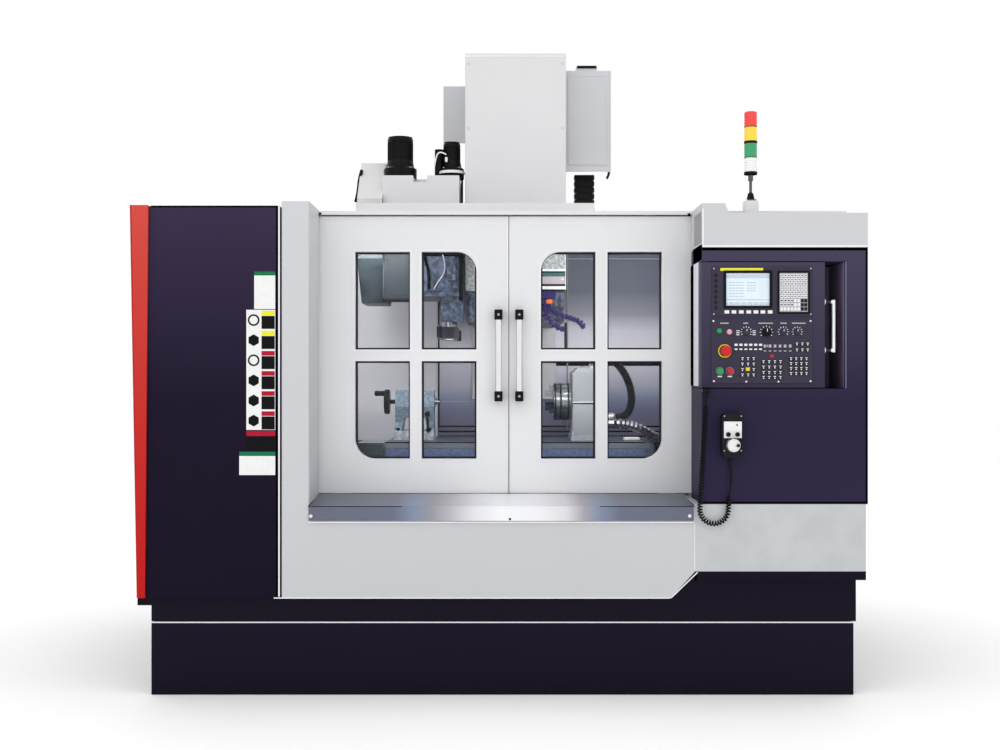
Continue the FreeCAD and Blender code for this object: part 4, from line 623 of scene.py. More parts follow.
    # Painted light: the console's coat grows lighter towards the top.
    console = DarkPanel("console_coat", "dark_panel", (0.045, 0.038, 0.066),
        ((1.20, (0.030, 0.024, 0.050)), (1.80, (0.060, 0.052, 0.090))))
    teal = Moulded("sight_teal", "window_glass", (0.02, 0.12, 0.11), 0.2, 1500.0, 0.5)
    key_pale = Moulded("trim_pale", "light_panel", (0.42, 0.38, 0.40), 0.35)
    # White plastic, also used for painted highlights along edges, seams and pane frames.
    key_white_and_highlight = Moulded("key_white_and_highlight", "console_face", (0.80, 0.80, 0.82), 0.4)
    key_grey = Moulded("key_grey", "console_face", (0.42, 0.42, 0.46), 0.4)
    key_pink = Moulded("key_pink", "console_face", (0.72, 0.40, 0.44), 0.4)
    key_blue = Moulded("key_blue_grey", "console_face", (0.16, 0.19, 0.30), 0.4)
    key_red = Moulded("key_red", "hold_red", (0.50, 0.010, 0.02), 0.3, 1500.0, 0.25)
    key_green = Moulded("key_green", "start_green", (0.01, 0.30, 0.10), 0.3, 1500.0, 0.25)
    key_yellow = Moulded("key_yellow", "console_face", (0.80, 0.60, 0.02), 0.35)
    key_dark = Moulded("key_dark", "console_face", (0.010, 0.009, 0.016), 0.35)
    stop = Moulded("stop_red_gloss", "stop_red", (0.56, 0.008, 0.012), 0.22, 1500.0, 0.3)
    paper = Moulded("label_white", "light_panel", (0.80, 0.81, 0.80), 0.5)
    # Black print, also used for painted shade in the lining's corner, under the doors' cross bar and along
    # the table's edge.
    ink_black = Moulded("label_black_and_painted_shade", "dark_base", (0.003, 0.003, 0.004), 0.45, gloss=0.1)
    ink_grey = Moulded("label_grey", "light_panel", (0.30, 0.30, 0.31), 0.45)
    ink_yellow = Moulded("label_yellow", "console_face", (0.80, 0.74, 0.03), 0.45)
    ink_red = Moulded("label_red", "trim_red", (0.42, 0.008, 0.03), 0.45, gloss=0.1)
    ink_green = Moulded("label_green", "start_green", (0.008, 0.17, 0.065), 0.45, gloss=0.1)
    glass = Pane("window_pane", "window_glass", (0.80, 0.84, 0.88))
    lens = LensStack("signal_lens_plastic", "lens_plastic", (0.7, 0.3, 0.1))
    screen = Display("lit_screen", "console_face", (0.66, 0.76, 0.84))


# ------------------------------------------------------------------ modelling by hand

class Bench:
    """The operators that shape a piece."""

    @staticmethod
    def clear() -> None:
        """Leave edit mode and deselect everything."""
        if bpy.context.object is not None and bpy.context.object.mode != "OBJECT":
            bpy.ops.object.mode_set(mode="OBJECT")
        bpy.ops.object.select_all(action="DESELECT")

    @staticmethod
    def take(piece: Piece) -> None:
        """Select one piece alone and make it active."""
        Bench.clear()
        piece.select_set(True)
        bpy.context.view_layer.objects.active = piece

    @staticmethod
    @contextmanager
    def editing(piece: Piece, mode: str = "FACE") -> Iterator[None]:
        """Work on a piece in edit mode, with all of it selected at the start."""
        Bench.take(piece)
        bpy.ops.object.mode_set(mode="EDIT")
        bpy.ops.mesh.select_mode(type=mode)
        bpy.ops.mesh.select_all(action="SELECT")
        yield
        bpy.ops.object.mode_set(mode="OBJECT")

    @staticmethod
    def pick_faces(piece: Piece, wanted: Callable[[bmesh.types.BMFace], bool]) -> None:
        """Select the faces that a test picks, in edit mode."""
        bpy.ops.mesh.select_all(action="DESELECT")
        cage = bmesh.from_edit_mesh(piece.data)
        for part in cage.faces:
            part.select_set(wanted(part))
        bmesh.update_edit_mesh(piece.data)

    @staticmethod
    def block(name: str, low: Point, high: Point, edge: float = 0.001, steps: int = 2) -> Piece:
        """A block with rounded edges.

        Args:
            name: the piece's name.
            low: its lowest corner in metres.
            high: its highest corner in metres.
            edge: the rounding's size.
            steps: the rounding's segments.

        Returns:
            The piece.
        """
        Bench.clear()
        middle = tuple((a + b) / 2 for a, b in zip(low, high))
        size = tuple(b - a for a, b in zip(low, high))
        bpy.ops.mesh.primitive_cube_add(size=1.0, location=middle, scale=size)
        piece = bpy.context.object
        piece.name = piece.data.name = name
        bpy.ops.object.transform_apply(location=True, rotation=True, scale=True)
        with Bench.editing(piece, "EDGE"):
            bpy.ops.mesh.bevel(offset=min(edge, min(size) * 0.45), segments=steps, affect="EDGES")
        return piece

    @staticmethod
    def strip(name: str, low: Point, high: Point, edge: float = 0.001) -> Piece:
        """A thin block between two corners in millimetres, its edges broken once."""
        return Bench.block(name, mm(*low), mm(*high), edge, 1)

    @staticmethod
    def tick(name: str, half: Point, edge: float, middle: Point, reach: float, angle: float) -> Piece:
        """A small upright mark turned outward at an angle of a dial that faces the front.

        Args:
            name: the mark's name.
            half: half its width, depth and height.
            edge: the rounding's size.
            middle: the dial's middle.
            reach: how far from it the mark lies.
            angle: its angle from the dial's right.

        Returns:
            The mark.
        """
        mark = Bench.block(name, tuple(-part for part in half), half, edge, 1)
        x, y, z = middle
        place = Matrix.Translation((x + reach * math.cos(angle), y, z + reach * math.sin(angle)))
        mark.data.transform(place @ Matrix.Rotation(math.pi / 2 - angle, 4, "Y"))
        return mark

    @staticmethod
    def path(y: float, *spots: Pair) -> list[Point]:
        """A route at one depth, from X and Z in millimetres."""
        return [mm(x, y, z) for x, z in spots]

    @staticmethod
    def tray(
        name: str, low: Point, high: Point, facing: Point, rim: float, rise: float, edge: float = 0.001,
    ) -> Piece:
        """A block whose face in one direction is inset by a rim and raised, or sunk if rise is negative."""
        piece = Bench.block(name, low, high, edge)
        way = Vector(facing)
        with Bench.editing(piece):
            Bench.pick_faces(piece, lambda part: part.normal.dot(way) > 0.999 and part.calc_area() > 1e-7)
            bpy.ops.mesh.inset(thickness=rim, depth=0.0)
            bpy.ops.mesh.inset(thickness=abs(rise) * 0.5, depth=rise)
        return piece

    @staticmethod
    def turned(name: str, start: Point, way: Point, profile: Sequence[Pair], sides: int = 24) -> Piece:
        """A turned piece, drawn out ring by ring from a disc.

        Args:
            name: the piece's name.
            start: where its profile's height 0 lies.
            way: the direction in which its height grows.
            profile: radius and height of each ring, in metres.
            sides: how many sides it has.

        Returns:
            The closed piece.
        """
        Bench.clear()
        radius, height = profile[0]
        bpy.ops.mesh.primitive_circle_add(vertices=sides, radius=radius, fill_type="NGON",
            location=(0, 0, height))
        piece = bpy.context.object
        piece.name = piece.data.name = name
        bpy.ops.object.transform_apply(location=True, rotation=True, scale=True)
        with Bench.editing(piece):
            for (before, low), (after, high) in zip(profile, profile[1:]):
                bpy.ops.mesh.extrude_region_move(TRANSFORM_OT_translate={"value": (0, 0, high - low)})
                bpy.ops.transform.resize(value=(after / before, after / before, 1.0))
            bpy.ops.mesh.select_all(action="SELECT")
            bpy.ops.mesh.normals_make_consistent(inside=False)
        Bench.lay(piece, start, way)
        return piece

    @staticmethod
    def hoop(name: str, start: Point, way: Point, radii: Pair, height: float) -> Piece:
        """A rounded ring round a shaft, open in the middle, from an inner to an outer radius."""
        Bench.clear()
        half = (radii[1] - radii[0]) / 2
        bpy.ops.mesh.primitive_torus_add(major_radius=radii[0] + half, minor_radius=half, major_segments=36,
            minor_segments=12)
        piece = bpy.context.object
        piece.name = piece.data.name = name
        piece.data.transform(Matrix.Diagonal((1.0, 1.0, height / half, 1.0)))
        Bench.lay(piece, start, way)
        return piece

    @staticmethod
    def lay(piece: Piece, start: Point, way: Point) -> None:
        """Turn a piece's own Z to a direction and move its origin to a point, in its mesh."""
        turn = Vector(UP).rotation_difference(Vector(way)).to_matrix().to_4x4()
        piece.data.transform(Matrix.Translation(start) @ turn)

    @staticmethod
    def ring(
        name: str, low: Pair, high: Pair, front: float, back: float,
        width: float, round_corners: Sequence[Pair] = (),
    ) -> Piece:
        """A flat ring round an upright opening, with some of its corners rounded.

        Args:
            name: the piece's name.
            low: the opening's lowest X and Z.
            high: its highest X and Z.
            front: the ring's front Y.
            back: its back Y.
            width: how far it reaches out from the opening; inwards if negative.
            round_corners: the X and Z of the corners that are rounded.

        Returns:
            The ring.
        """
        Bench.clear()
        out = max(width, 0.0)
        round_corners = [(x + math.copysign(out, 2 * x - low[0] - high[0]), z
            + math.copysign(out, 2 * z - low[1] - high[1])) for x, z in round_corners]
        bpy.ops.mesh.primitive_plane_add(size=1.0, location=(0, 0, 0))
        piece = bpy.context.object
        piece.name = piece.data.name = name
        piece.data.transform(Matrix.Diagonal((high[0] - low[0] + 2 * out, high[1] - low[1] + 2 * out, 1.0,
            1.0)))
        piece.data.transform(Matrix.Translation(((low[0] + high[0]) / 2, front, (low[1] + high[1]) / 2))
            @ Matrix.Rotation(math.radians(90), 4, "X"))
        if round_corners:
            with Bench.editing(piece, "VERT"):
                bpy.ops.mesh.select_all(action="DESELECT")
                cage = bmesh.from_edit_mesh(piece.data)
                for corner in cage.verts:
                    corner.select_set(any(abs(corner.co.x - x) + abs(corner.co.z - z) < 1e-4
                        for x, z in round_corners))
                bmesh.update_edit_mesh(piece.data)
                bpy.ops.mesh.bevel(offset=PANE_CORNER * 0.62, segments=7, affect="VERTICES", profile=0.36)
        with Bench.editing(piece):
            bpy.ops.mesh.inset(thickness=abs(width), depth=0.0)
            bpy.ops.mesh.delete(type="ONLY_FACE")
            bpy.ops.mesh.select_all(action="SELECT")
            bpy.ops.mesh.extrude_region_move(TRANSFORM_OT_translate={"value": (0, back - front, 0)})
            bpy.ops.mesh.select_all(action="SELECT")
            bpy.ops.mesh.normals_make_consistent(inside=False)
        return piece

    @staticmethod
    def repeat(piece: Piece, offsets: Iterable[Point]) -> Piece:
        """Copy a piece to several places, each copy with its own mesh, and join them to it."""
        twins = []
        for offset in offsets:
            twin = piece.copy()
            twin.data = piece.data.copy()
            twin.data.transform(Matrix.Translation(offset))
            bpy.context.collection.objects.link(twin)
            twins.append(twin)
        return Bench.join([piece, *twins])

    @staticmethod
    def spread(piece: Piece, places: Sequence[Point]) -> Piece:
        """Copy a piece that stands at the first of several places to the rest."""
        return Bench.repeat(piece, [tuple(Vector(place) - Vector(places[0])) for place in places[1:]])

    @staticmethod
    def join(pieces: Sequence[Piece]) -> Piece:
        """Join pieces of one finish into the first."""
        Bench.take(pieces[0])
        for piece in pieces[1:]:
            piece.select_set(True)
        if len(pieces) > 1:
            bpy.ops.object.join()
        return pieces[0]

    @staticmethod
    def clip(piece: Piece, wanted: Callable[[Vector], bool], size: float) -> None:
        """Cut off the corners of an upright plate: its edges along Y whose middles a test picks."""
        with Bench.editing(piece, "EDGE"):
            bpy.ops.mesh.select_all(action="DESELECT")
            cage = bmesh.from_edit_mesh(piece.data)
            for side in cage.edges:
                run = side.verts[1].co - side.verts[0].co
                side.select_set(abs(run.y) > 0.9 * run.length and wanted((side.verts[0].co
                    + side.verts[1].co) / 2))
            bmesh.update_edit_mesh(piece.data)
            bpy.ops.mesh.bevel(offset=size, segments=1, affect="EDGES", clamp_overlap=False)

    @staticmethod
    def curve(name: str, points: Sequence[Point], steps: int, radius: float = 0.0, sides: int = 3) -> Piece:
        """A curve of one open spline that the points steer.

        Args:
            name: the curve's name.
            points: its control points.
            steps: its steps from one point to the next.
            radius: the radius of the tube round it, or 0 for a bare line.
            sides: how round the tube is.

        Returns:
            Its object, not linked to the scene.
        """
        curve = bpy.data.curves.new(name, "CURVE")
        curve.dimensions = "3D"
        curve.bevel_depth = radius
        curve.bevel_resolution = sides
        curve.use_fill_caps = True
        curve.resolution_u = steps
        spline = curve.splines.new("NURBS")
        spline.points.add(len(points) - 1)
        for point, place in zip(spline.points, points):
            point.co = (*place, 1.0)
        spline.order_u = 3
        spline.use_endpoint_u = True
        return bpy.data.objects.new(name, curve)

    @staticmethod
    def line(name: str, route: Sequence[Point], steps: int) -> list[Vector]:
        """Points along a route, read from its own smooth curve."""
        holder = Bench.curve(name, route, steps)
        curve, mesh = holder.data, bpy.data.meshes.new_from_object(holder)
        points = [corner.co.copy() for corner in mesh.vertices]
        bpy.data.objects.remove(holder)
        bpy.data.curves.remove(curve)
        bpy.data.meshes.remove(mesh)
        return points

    @staticmethod
    def hose(name: str, route: Sequence[Point], radius: float) -> Piece:
        """A smooth round hose along a route, as a mesh."""
        Bench.clear()
        piece = Bench.curve(name, route, 8, radius)
        bpy.context.collection.objects.link(piece)
        Bench.take(piece)
        bpy.ops.object.convert(target="MESH")
        return bpy.context.object


@dataclass
class SubAssembly:
    """A group of pieces that a fitter would put on together."""

    title: str
    carrier: str = "frame"

    def add(self, piece: Piece | list[Piece], finish: Finish, body: str = "", smooth: float = 32.0) -> Piece:
        """Dress a finished piece and fix it to the body that carries it.

        Args:
            piece: the piece, in place, or several that are joined into the first.
            finish: its finish.
            body: the body that it rides on, if it isn't the sub-assembly's carrier.
            smooth: the angle in degrees below which its edges look round.

        Returns:
            The piece.
        """
        if isinstance(piece, list):
            piece = Bench.join(piece)
        body = body or self.carrier
        Bench.take(piece)
        bpy.ops.object.shade_smooth_by_angle(angle=math.radians(smooth))
        piece.data.materials.clear()
        piece.data.materials.append(finish.material())
        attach(piece, body)
        LOG.info("%s: %s", self.title, piece.name)
        return piece

    def dress(self, finishes: dict[str, Finish]) -> None:
        """Give CAD nodes their finishes."""
        for name, finish in finishes.items():
            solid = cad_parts[name]
            solid.data.materials.clear()
            solid.data.materials.append(finish.material())
            LOG.info("%s: %s dressed", self.title, name)

    def screws(
        self, name: str, places: Sequence[Point], way: Point, radius: float, finish: Finish, body: str = "",
        tall: float = 0.4,
    ) -> None:
        """Socket-head screws at several places, all facing one way."""
        height = radius * tall * 2
        profile = [(radius, 0.0), (radius, height * 0.8), (radius * 0.88, height), (radius * 0.5, height),
            (radius * 0.45, height * 0.4)]
        screw = Bench.turned(name, places[0], way, profile, 14)
        self.add(Bench.spread(screw, places), finish, body)


# ------------------------------------------------------------------ sub-assemblies

@dataclass
class Base(SubAssembly):
    """Tank, skirt, bed and column."""

    left: float = -1.420
    right: float = 1.459
    front: float = -1.160

    def build(self) -> None:
        """Dress the base and add its rim, ribs, plug and foot collars."""
        self.dress({"coolant_tank": Shop.base, "bed_skirt": Shop.skirt, "machine_bed": Shop.casting,
            "column": Shop.casting, "guides_and_screws": Shop.rail})
        # Partly painted highlight: the rolled rim's bright finish stands in for the light line along the
        # tank's top edge.
        self.add(Bench.block("tank_rolled_rim_highlight", (self.left, self.front - 0.003, 0.2925),
            (self.right - 0.010, self.front + 0.004, 0.2985), 0.002), Shop.aluminium)
        self.tank_details()
        self.feet()

    def tank_details(self) -> None:
        """Folded stiffening ribs on the tank's ends and a drain plug."""
        ends = [Bench.block("tank_rib", (x, y - 0.02, 0.05), (x + 0.006, y + 0.02, 0.25), 0.003)
            for x in (self.left - 0.004, self.right - 0.012) for y in (-1.00, -0.80, -0.60)]
        self.add(ends, Shop.base)
        self.screws("tank_drain_plug", [(self.left - 0.001, -0.50, 0.05)], LEFT, 0.018, Shop.bolt)

    def feet(self) -> None:
        """A collar round the levelling screw at each foot."""
        places = [(x, y, 0.040) for x in (-0.249, 0.401) for y in (-0.325, 0.775)]
        collars = [Bench.turned("foot_collar", place, UP, [(0.052, 0.0), (0.052, 0.004), (0.030, 0.012)])
            for place in places]
        self.add(collars, Shop.bolt)


@dataclass
class Enclosure(SubAssembly):
    """Painted panels, trim, sill and rails."""

    front: float = -1.170

    def build(self) -> None:
        """Dress the panels and add labels, seams and screws."""
        self.dress({"left_enclosure": Shop.dark, "corner_trim": Shop.trim, "front_frame": Shop.light,
            "sill_cover": Shop.sill, "door_rails": Shop.roof, "control_cabinet": Shop.cabinet,
            "cabinet_panels": Shop.apron, "right_enclosure": Shop.cabinet, "splash_walls": Shop.lining,
            "electrical_cabinet": Shop.light, "electrical_door": Shop.light})
        self.labels()
        self.sill_details()
        self.seams()
        self.edges()
        self.rear_door()
        self.cabinet_inside()
        self.guard_sheet()

    def guard_sheet(self) -> None:
        """Painted sheet over the back guard and its flange, and beside it painted highlights along the
        lining's folds and painted shade in its corner, under the doors' cross bar and between its ledges.
        """
        self.add(Bench.tray("back_guard_sheet", mm(-1190, 310.5, 964), mm(-326, 312.5, 1955), FRONT, 0.004,
            -0.0006, 0.0006), Shop.guard)
        self.add(Bench.block("back_guard_flange", mm(-331, 306, 964), mm(-322, 320, 1955)), Shop.key_white_and_highlight)
        # Painted shade: a black strip in the corner between the guard sheet and the lining.
        self.add(Bench.strip("back_guard_gap_shade", (-321, 326, 985), (-313, 331, 1955), 0.0006), Shop.ink_black)
        # Painted highlights: light lines along the lining's folds.
        self.add(Bench.block("lining_fold_highlight", mm(-312, 328, 1163), mm(-50, 331, 1169)), Shop.key_grey)
        self.add(Bench.block("lining_top_fold_highlight", mm(-312, 328, 1913), mm(1328, 331, 1919)), Shop.ink_grey)
        # Painted shadow: a black band under the doors' cross bar.
        self.add(Bench.block("lining_shade", mm(300, 327.5, 1354), mm(1328, 331, 1372)), Shop.ink_black)
        # Painted shade: black strips between the lining's ledges.
        gaps = [Bench.strip("ledge_gap", (-312, y, z), (1328, 331, z + 8))
            for y, z in ((316, 980), (320, 1006), (324, 1032))]
        self.add(gaps, Shop.void)
        self.add(Bench.block("lining_post", mm(355, 322, 985), mm(362, 331, 1955)), Shop.ink_grey)

    def edges(self) -> None:
        """Painted highlights along folded edges, black strips of painted shade in the gaps, folds and edges
        round the front panels, and black rail stops.
        """
        # Painted highlights: white strips where the folded edges of the pillar, apron, fascia and sill catch
        # the light.
        bright = [Bench.strip("seam_edge_highlight", (-900, -1172, 402), (-893, -1169, 1994)),
            Bench.strip("apron_side_hem_highlight", (797, -1172, 512), (800.5, -1168, 700)),
            Bench.strip("fascia_corner_highlight", (829, -1172.5, 1836), (836, -1168, 1985)),
            Bench.strip("apron_hem_highlight", (-918, -1172, 394), (701, -1168, 399)),
            Bench.strip("sill_hem_highlight", (-778, -1178, 703), (794, -1174, 708))]
        slant = Bench.strip("apron_slant_hem_highlight", (0, -1172, -4.5), (150, -1168, 0.5))
        slant.data.transform(Matrix.Translation(mm(701, 0, 399))
            @ Matrix.Rotation(-math.atan2(104, 108), 4, "Y"))
        self.add([*bright, slant], Shop.key_white_and_highlight)
        # Painted highlight: a bright steel strip that lights the shaded inner face of the left jamb.
        self.add(Bench.strip("return_edge_highlight", (-779, -1150, 800), (-776.5, -890, 1990)), Shop.edging)
        # Painted shade: a darker grey sheet on the shaded side face beside the console bay.
        self.add(Bench.strip("fascia_side_painted_shade", (826.5, -1157, 1848), (829.5, -969, 1975)), Shop.ink_grey)
        # Painted shade: black strips along the sill's end, back and folds, in the seam and fascia gaps and
        # along the cabinets' edges; the rail stops are black too.
        black = [Bench.hose("sill_end_edge", [mm(-776, -1172, 773), mm(-776, -1020, 783),
            mm(-776, -876, 792)], 0.002), Bench.strip("sill_back_left", (-776, -874, 790.5),
            (-280, -871.5, 794), 0.0006), Bench.strip("sill_back_right", (300, -874, 790.5),
            (818, -871.5, 794), 0.0006), Bench.strip("rail_stop_left", (-776, -889, 1996),
            (-764, -884.5, 2004)), Bench.strip("rail_stop_right", (812, -889, 1990), (823, -884.5, 2001)),
            Bench.strip("seam_gap", (-909, -1171, 402), (-901, -1169, 1994)),
            Bench.strip("cabinet_top_edge", (-1419, -1171.5, 1990), (-902, -1169, 1997)),
            Bench.strip("fascia_gap", (829, -1171.5, 1814), (1503, -1169, 1825)),
            Bench.strip("cabinet_foot_edge", (829, -1171.5, 783), (1503, -1169, 789)),
            Bench.strip("cabinet_side_edge", (1496, -1171.5, 789), (1503, -1169, 1825)),
            Bench.strip("sill_fold_left", (-774, -1177.5, 769), (-395, -1174, 771.5), 0.0006),
            Bench.strip("sill_fold_right", (412, -1177.5, 769), (792, -1174, 771.5), 0.0006)]
        self.add(black, Shop.void)
        self.add(Bench.strip("skirt_corner", (782, -1168, 466), (808, -1160, 500)), Shop.skirt)
        # Painted light: lighter sheets at the back and side of the console bay lift the recess out of its
        # shade.
        self.add(Bench.strip("bay_painted_light", (1330, -929, 1252), (1411, -926, 1768)), Shop.bay)
        self.add(Bench.strip("bay_side_painted_light", (1408, -1160, 1252), (1411.5, -930, 1768)), Shop.bay)

    def field(self, name: str, x: Pair, z: Pair, finish: Finish, proud: float = 0.0008) -> None:
        """A plain field of colour on the front of the left cabinet, sizes in millimetres."""
        low = (x[0] * MM, self.front - proud, z[0] * MM)
        self.add(Bench.block(name, low, (x[1] * MM, self.front + 0.0005, z[1] * MM), 0.0004, 1), finish)

    def labels(self) -> None:
        """The stack of plain sheets beside the seam: two white sheets, a column of squares and bars."""
        for name, left, low, high, finish in (("sheet_top", -998, 1575, 1712, Shop.paper),
                ("sheet_top_head", -998, 1712, 1728, Shop.ink_green),
                ("sheet_foot", -1059, 898, 976, Shop.paper), ("sheet_foot_head", -1059, 978, 993,
                Shop.ink_green), ("panel_mid", -1030, 1000, 1055, Shop.ink_black),
                ("panel_mid_head", -1030, 1057, 1078, Shop.ink_red),
                ("square_column", -1030, 1082, 1572, Shop.paper)):
            self.field(name, (left, -912), (low, high), finish)
        for step in range(6):
            top = 1571 - step * 82
            self.field(f"bar_{step}", (-968, -914), (top - 77, top - 24), Shop.ink_black, 0.0014)
            self.field(f"bar_head_{step}", (-968, -914), (top - 22, top - 3),
                Shop.ink_yellow if step < 2 else Shop.ink_red, 0.0014)
        marks, rings = [], []
        for step in range(6):
            spot = (-1.0, self.front - 0.0008, (1530 - step * 82) * MM)
            marks.append(Bench.turned("square_mark", spot, FRONT,
                [(0.024, 0.0), (0.024, 0.0006), (0.016, 0.0008)], 20 if step in (0, 2) else 6))
            if step in (0, 2):
                rings.append(Bench.turned("square_ring", (spot[0], spot[1] - 0.0008, spot[2]), FRONT,
                    [(0.017, 0.0), (0.017, 0.0005), (0.012, 0.0006)], 20))
        self.add(marks, Shop.ink_black)
        self.add(rings, Shop.paper)

    def sill_details(self) -> None:
        """Two screws and a drain hole on the sill."""
        self.screws("sill_screw", [mm(-766, -1176, 731), mm(777, -1176, 732)], FRONT, 0.007, Shop.key_white_and_highlight,
            "frame", 0.25)
        self.add(Bench.turned("sill_drain", mm(45, -1176, 719), FRONT, [(0.005, 0.0), (0.005, 0.0004)], 16),
            Shop.ink_black)

    def seams(self) -> None:
        """A painted highlight over the console bay and a blue-grey jamb beside it, and folded seams and
        screws on the walls.
        """
        # Painted highlight: a white line along the seam under the grey fascia.
        self.add(Bench.block("fascia_seam_highlight", mm(829, -1173, 1827), mm(1504, -1168, 1836), 0.0015),
            Shop.key_white_and_highlight)
        self.add(Bench.block("bay_jamb", mm(1413, -1171.5, 1252), mm(1417, -1168, 1768), 0.0012),
            Shop.key_blue)
        strips = [Bench.block("wall_seam", (x, y - 0.003, 0.42), (x + 0.004, y + 0.003, 1.95))
            for x in (-1.4425, 1.5008) for y in (-0.45, 0.12)]
        self.add(strips, Shop.skirt)
        for side, x, way in (("left", -1.441, LEFT), ("right", 1.5002, RIGHT)):
            places = [(x, y, z) for y in (-0.80, -0.48, -0.42, 0.09, 0.15, 0.60) for z in (0.50, 1.20, 1.90)]
            self.screws(f"{side}_wall_screw", places, way, 0.008, Shop.bolt, tall=0.3)

    def rear_door(self) -> None:
        """Louvres, fan guards, lock and hinge knuckles of the electrical cabinet's door."""
        rows = [0.58 + row * 0.022 for row in range(12)]
        slats = [Bench.block("louvre", (x, 1.2485, z), (x + 0.30, 1.2499, z + 0.010), 0.0006, 1)
            for z in rows for x in (-0.10, 0.62)]
        self.add(slats, Shop.ink_black, "electric_door")
        fans = [Bench.hoop("fan_guard", (x, 1.2482, 1.74), BACK, (r, r + 0.006), 0.0015)
            for x in (0.05, 0.77) for r in (0.020, 0.040, 0.060, 0.080)]
        self.add(fans, Shop.ink_black, "electric_door")
        self.add(Bench.ring("electric_door_bead", mm(-286, 466), mm(1086, 1934), 1.2492, 1.2486, 0.004),
            Shop.ink_grey, "electric_door")
        self.add(Bench.turned("door_lock", (1.06, 1.2400, 1.20), BACK,
            [(0.016, 0.0), (0.016, 0.0085), (0.013, 0.0097), (0.006, 0.0097), (0.005, 0.006)]), Shop.bolt,
            "electric_door")
        knuckles = [Bench.turned("door_knuckle", (-0.3055, 1.2435, z), UP,
            [(0.0045, 0.0), (0.005, 0.002), (0.005, 0.078), (0.0045, 0.08)], 14) for z in (0.62, 1.16, 1.70)]
        self.add(knuckles, Shop.bolt)

    def cabinet_inside(self) -> None:
        """Drives, fins, ducts, relays, transformer and breakers on the electrical cabinet's plate."""
        back = 897.5
        drives = [Bench.tray("cabinet_drive", mm(x, back, 1400), mm(x + 118, 1090, 1780), BACK, 0.010, -0.004,
            0.004) for x in (-180, -40, 100, 240)]
        self.add(drives, Shop.console)
        fins = [Bench.strip("drive_fin", (400 + 22 * k, back, 1420), (406 + 22 * k, 1060, 1760))
            for k in range(14)]
        self.add(fins, Shop.aluminium)
        ducts = [Bench.block("wiring_duct", mm(-220, back, z), mm(1020, 960, z + 50), 0.002)
            for z in (580, 960, 1320, 1800)]
        ducts.append(Bench.block("wiring_duct", mm(760, back, 640), mm(810, 960, 1790), 0.002))
        self.add(ducts, Shop.key_grey)
        relays = [Bench.tray("cabinet_relay", mm(-190 + 62 * k, back, z), mm(-142 + 62 * k, 985, z + 90),
            BACK, 0.006, -0.003, 0.002) for z in (1070, 1200) for k in range(14)]
        self.add(relays, Shop.pendant)
        self.add(Bench.tray("cabinet_transformer", mm(-160, back, 660), mm(180, 1120, 900), BACK, 0.03,
            -0.012, 0.006), Shop.bolt)
        breakers = [Bench.tray("cabinet_breaker", mm(280 + 90 * k, back, 700), mm(350 + 90 * k, 1000, 860),
            BACK, 0.012, 0.008, 0.003) for k in range(5)]
        self.add(breakers, Shop.ink_black)


@dataclass
class Doors(SubAssembly):
    """Two sliding doors with their panes and pulls."""

    low: float = 0.944
    split_low: float = 1.366
    split_high: float = 1.416
    high: float = 1.838
    columns: dict[str, tuple[float, float, float, float]] = field(default_factory=lambda: {"left": (-0.621,
        -0.384, -0.334, -0.097), "right": (0.181, 0.417, 0.468, 0.704)})
    pulls: dict[str, float] = field(default_factory=lambda: {"left": -0.002, "right": 0.087})

    def build(self) -> None:
        """Dress both doors and add pane edgings, gaskets, pull ends, a meeting seal, and white meeting and
        top edges of painted highlight.
        """
        for side in ("left", "right"):
            self.dress({f"{side}_door_panel": Shop.door, f"{side}_door_windows": Shop.glass,
                f"{side}_door_handle": Shop.aluminium})
            self.panes(side)
            self.pull(side)
        self.add(Bench.block("meeting_seal", mm(41, -862, 800), mm(44, -834, 1988)), Shop.ink_grey,
            "left_door")
        # Painted highlight: a white strip on the right door's meeting edge.
        self.add(Bench.block("meeting_edge_right", mm(44.5, -872, 800), mm(49, -869, 1988)), Shop.key_white_and_highlight,
            "right_door")
        # Painted highlights: white strips along both doors' top edges.
        for side, low, high in (("left", -770, 36), ("right", 50, 780)):
            self.add(Bench.strip(f"{side}_top_lip", (low, -873, 1979), (high, -869, 1985)), Shop.key_white_and_highlight,
                f"{side}_door")
        # Painted highlight: a white strip on the left door's meeting edge.
        self.add(Bench.block("meeting_edge", mm(33, -872, 800), mm(41, -869, 1988)), Shop.key_white_and_highlight,
            "left_door")

    def panes(self, side: str) -> None:
        """White edging on the panel, partly a painted highlight of the frame's bevel, and a dark gasket
        inside each of the four panes.
        """
        a, b, c, d = self.columns[side]
        cut = {"left": ((a, self.low), (d, self.high)), "right": ((d, self.low), (a, self.high))}[side]
        beads, seals = [], []
        for x0, x1 in ((a, b), (c, d)):
            for z0, z1 in ((self.low, self.split_low), (self.split_high, self.high)):
                # Partly painted highlight: the white edging stands in for the frame's bright bevel.
                beads.append(Bench.ring(f"{side}_pane_edging_highlight", (x0, z0), (x1, z1), -0.8715, -0.868, 0.009,
                    cut))
                seals.append(Bench.ring(f"{side}_pane_gasket", (x0, z0), (x1, z1), -0.836, -0.826, -0.008,
                    cut))
        self.add(beads, Shop.key_white_and_highlight, f"{side}_door")
        self.add(seals, Shop.gasket, f"{side}_door")

    def pull(self, side: str) -> None:
        """Black end blocks with a bright screw on each pull."""
        x = self.pulls[side]
        for number, z in enumerate((1.195, 1.544)):
            self.add(Bench.tray(f"{side}_pull_end_{number}", (x - 0.0175, -0.9315, z - 0.002),
                (x + 0.0175, -0.8695, z + 0.042), FRONT, 0.005, -0.0015, 0.004), Shop.handle, f"{side}_door")
        self.screws(f"{side}_pull_screw", [(x, -0.930, 1.215), (x, -0.930, 1.564)], FRONT, 0.0055, Shop.bolt,
            f"{side}_door", 0.35)


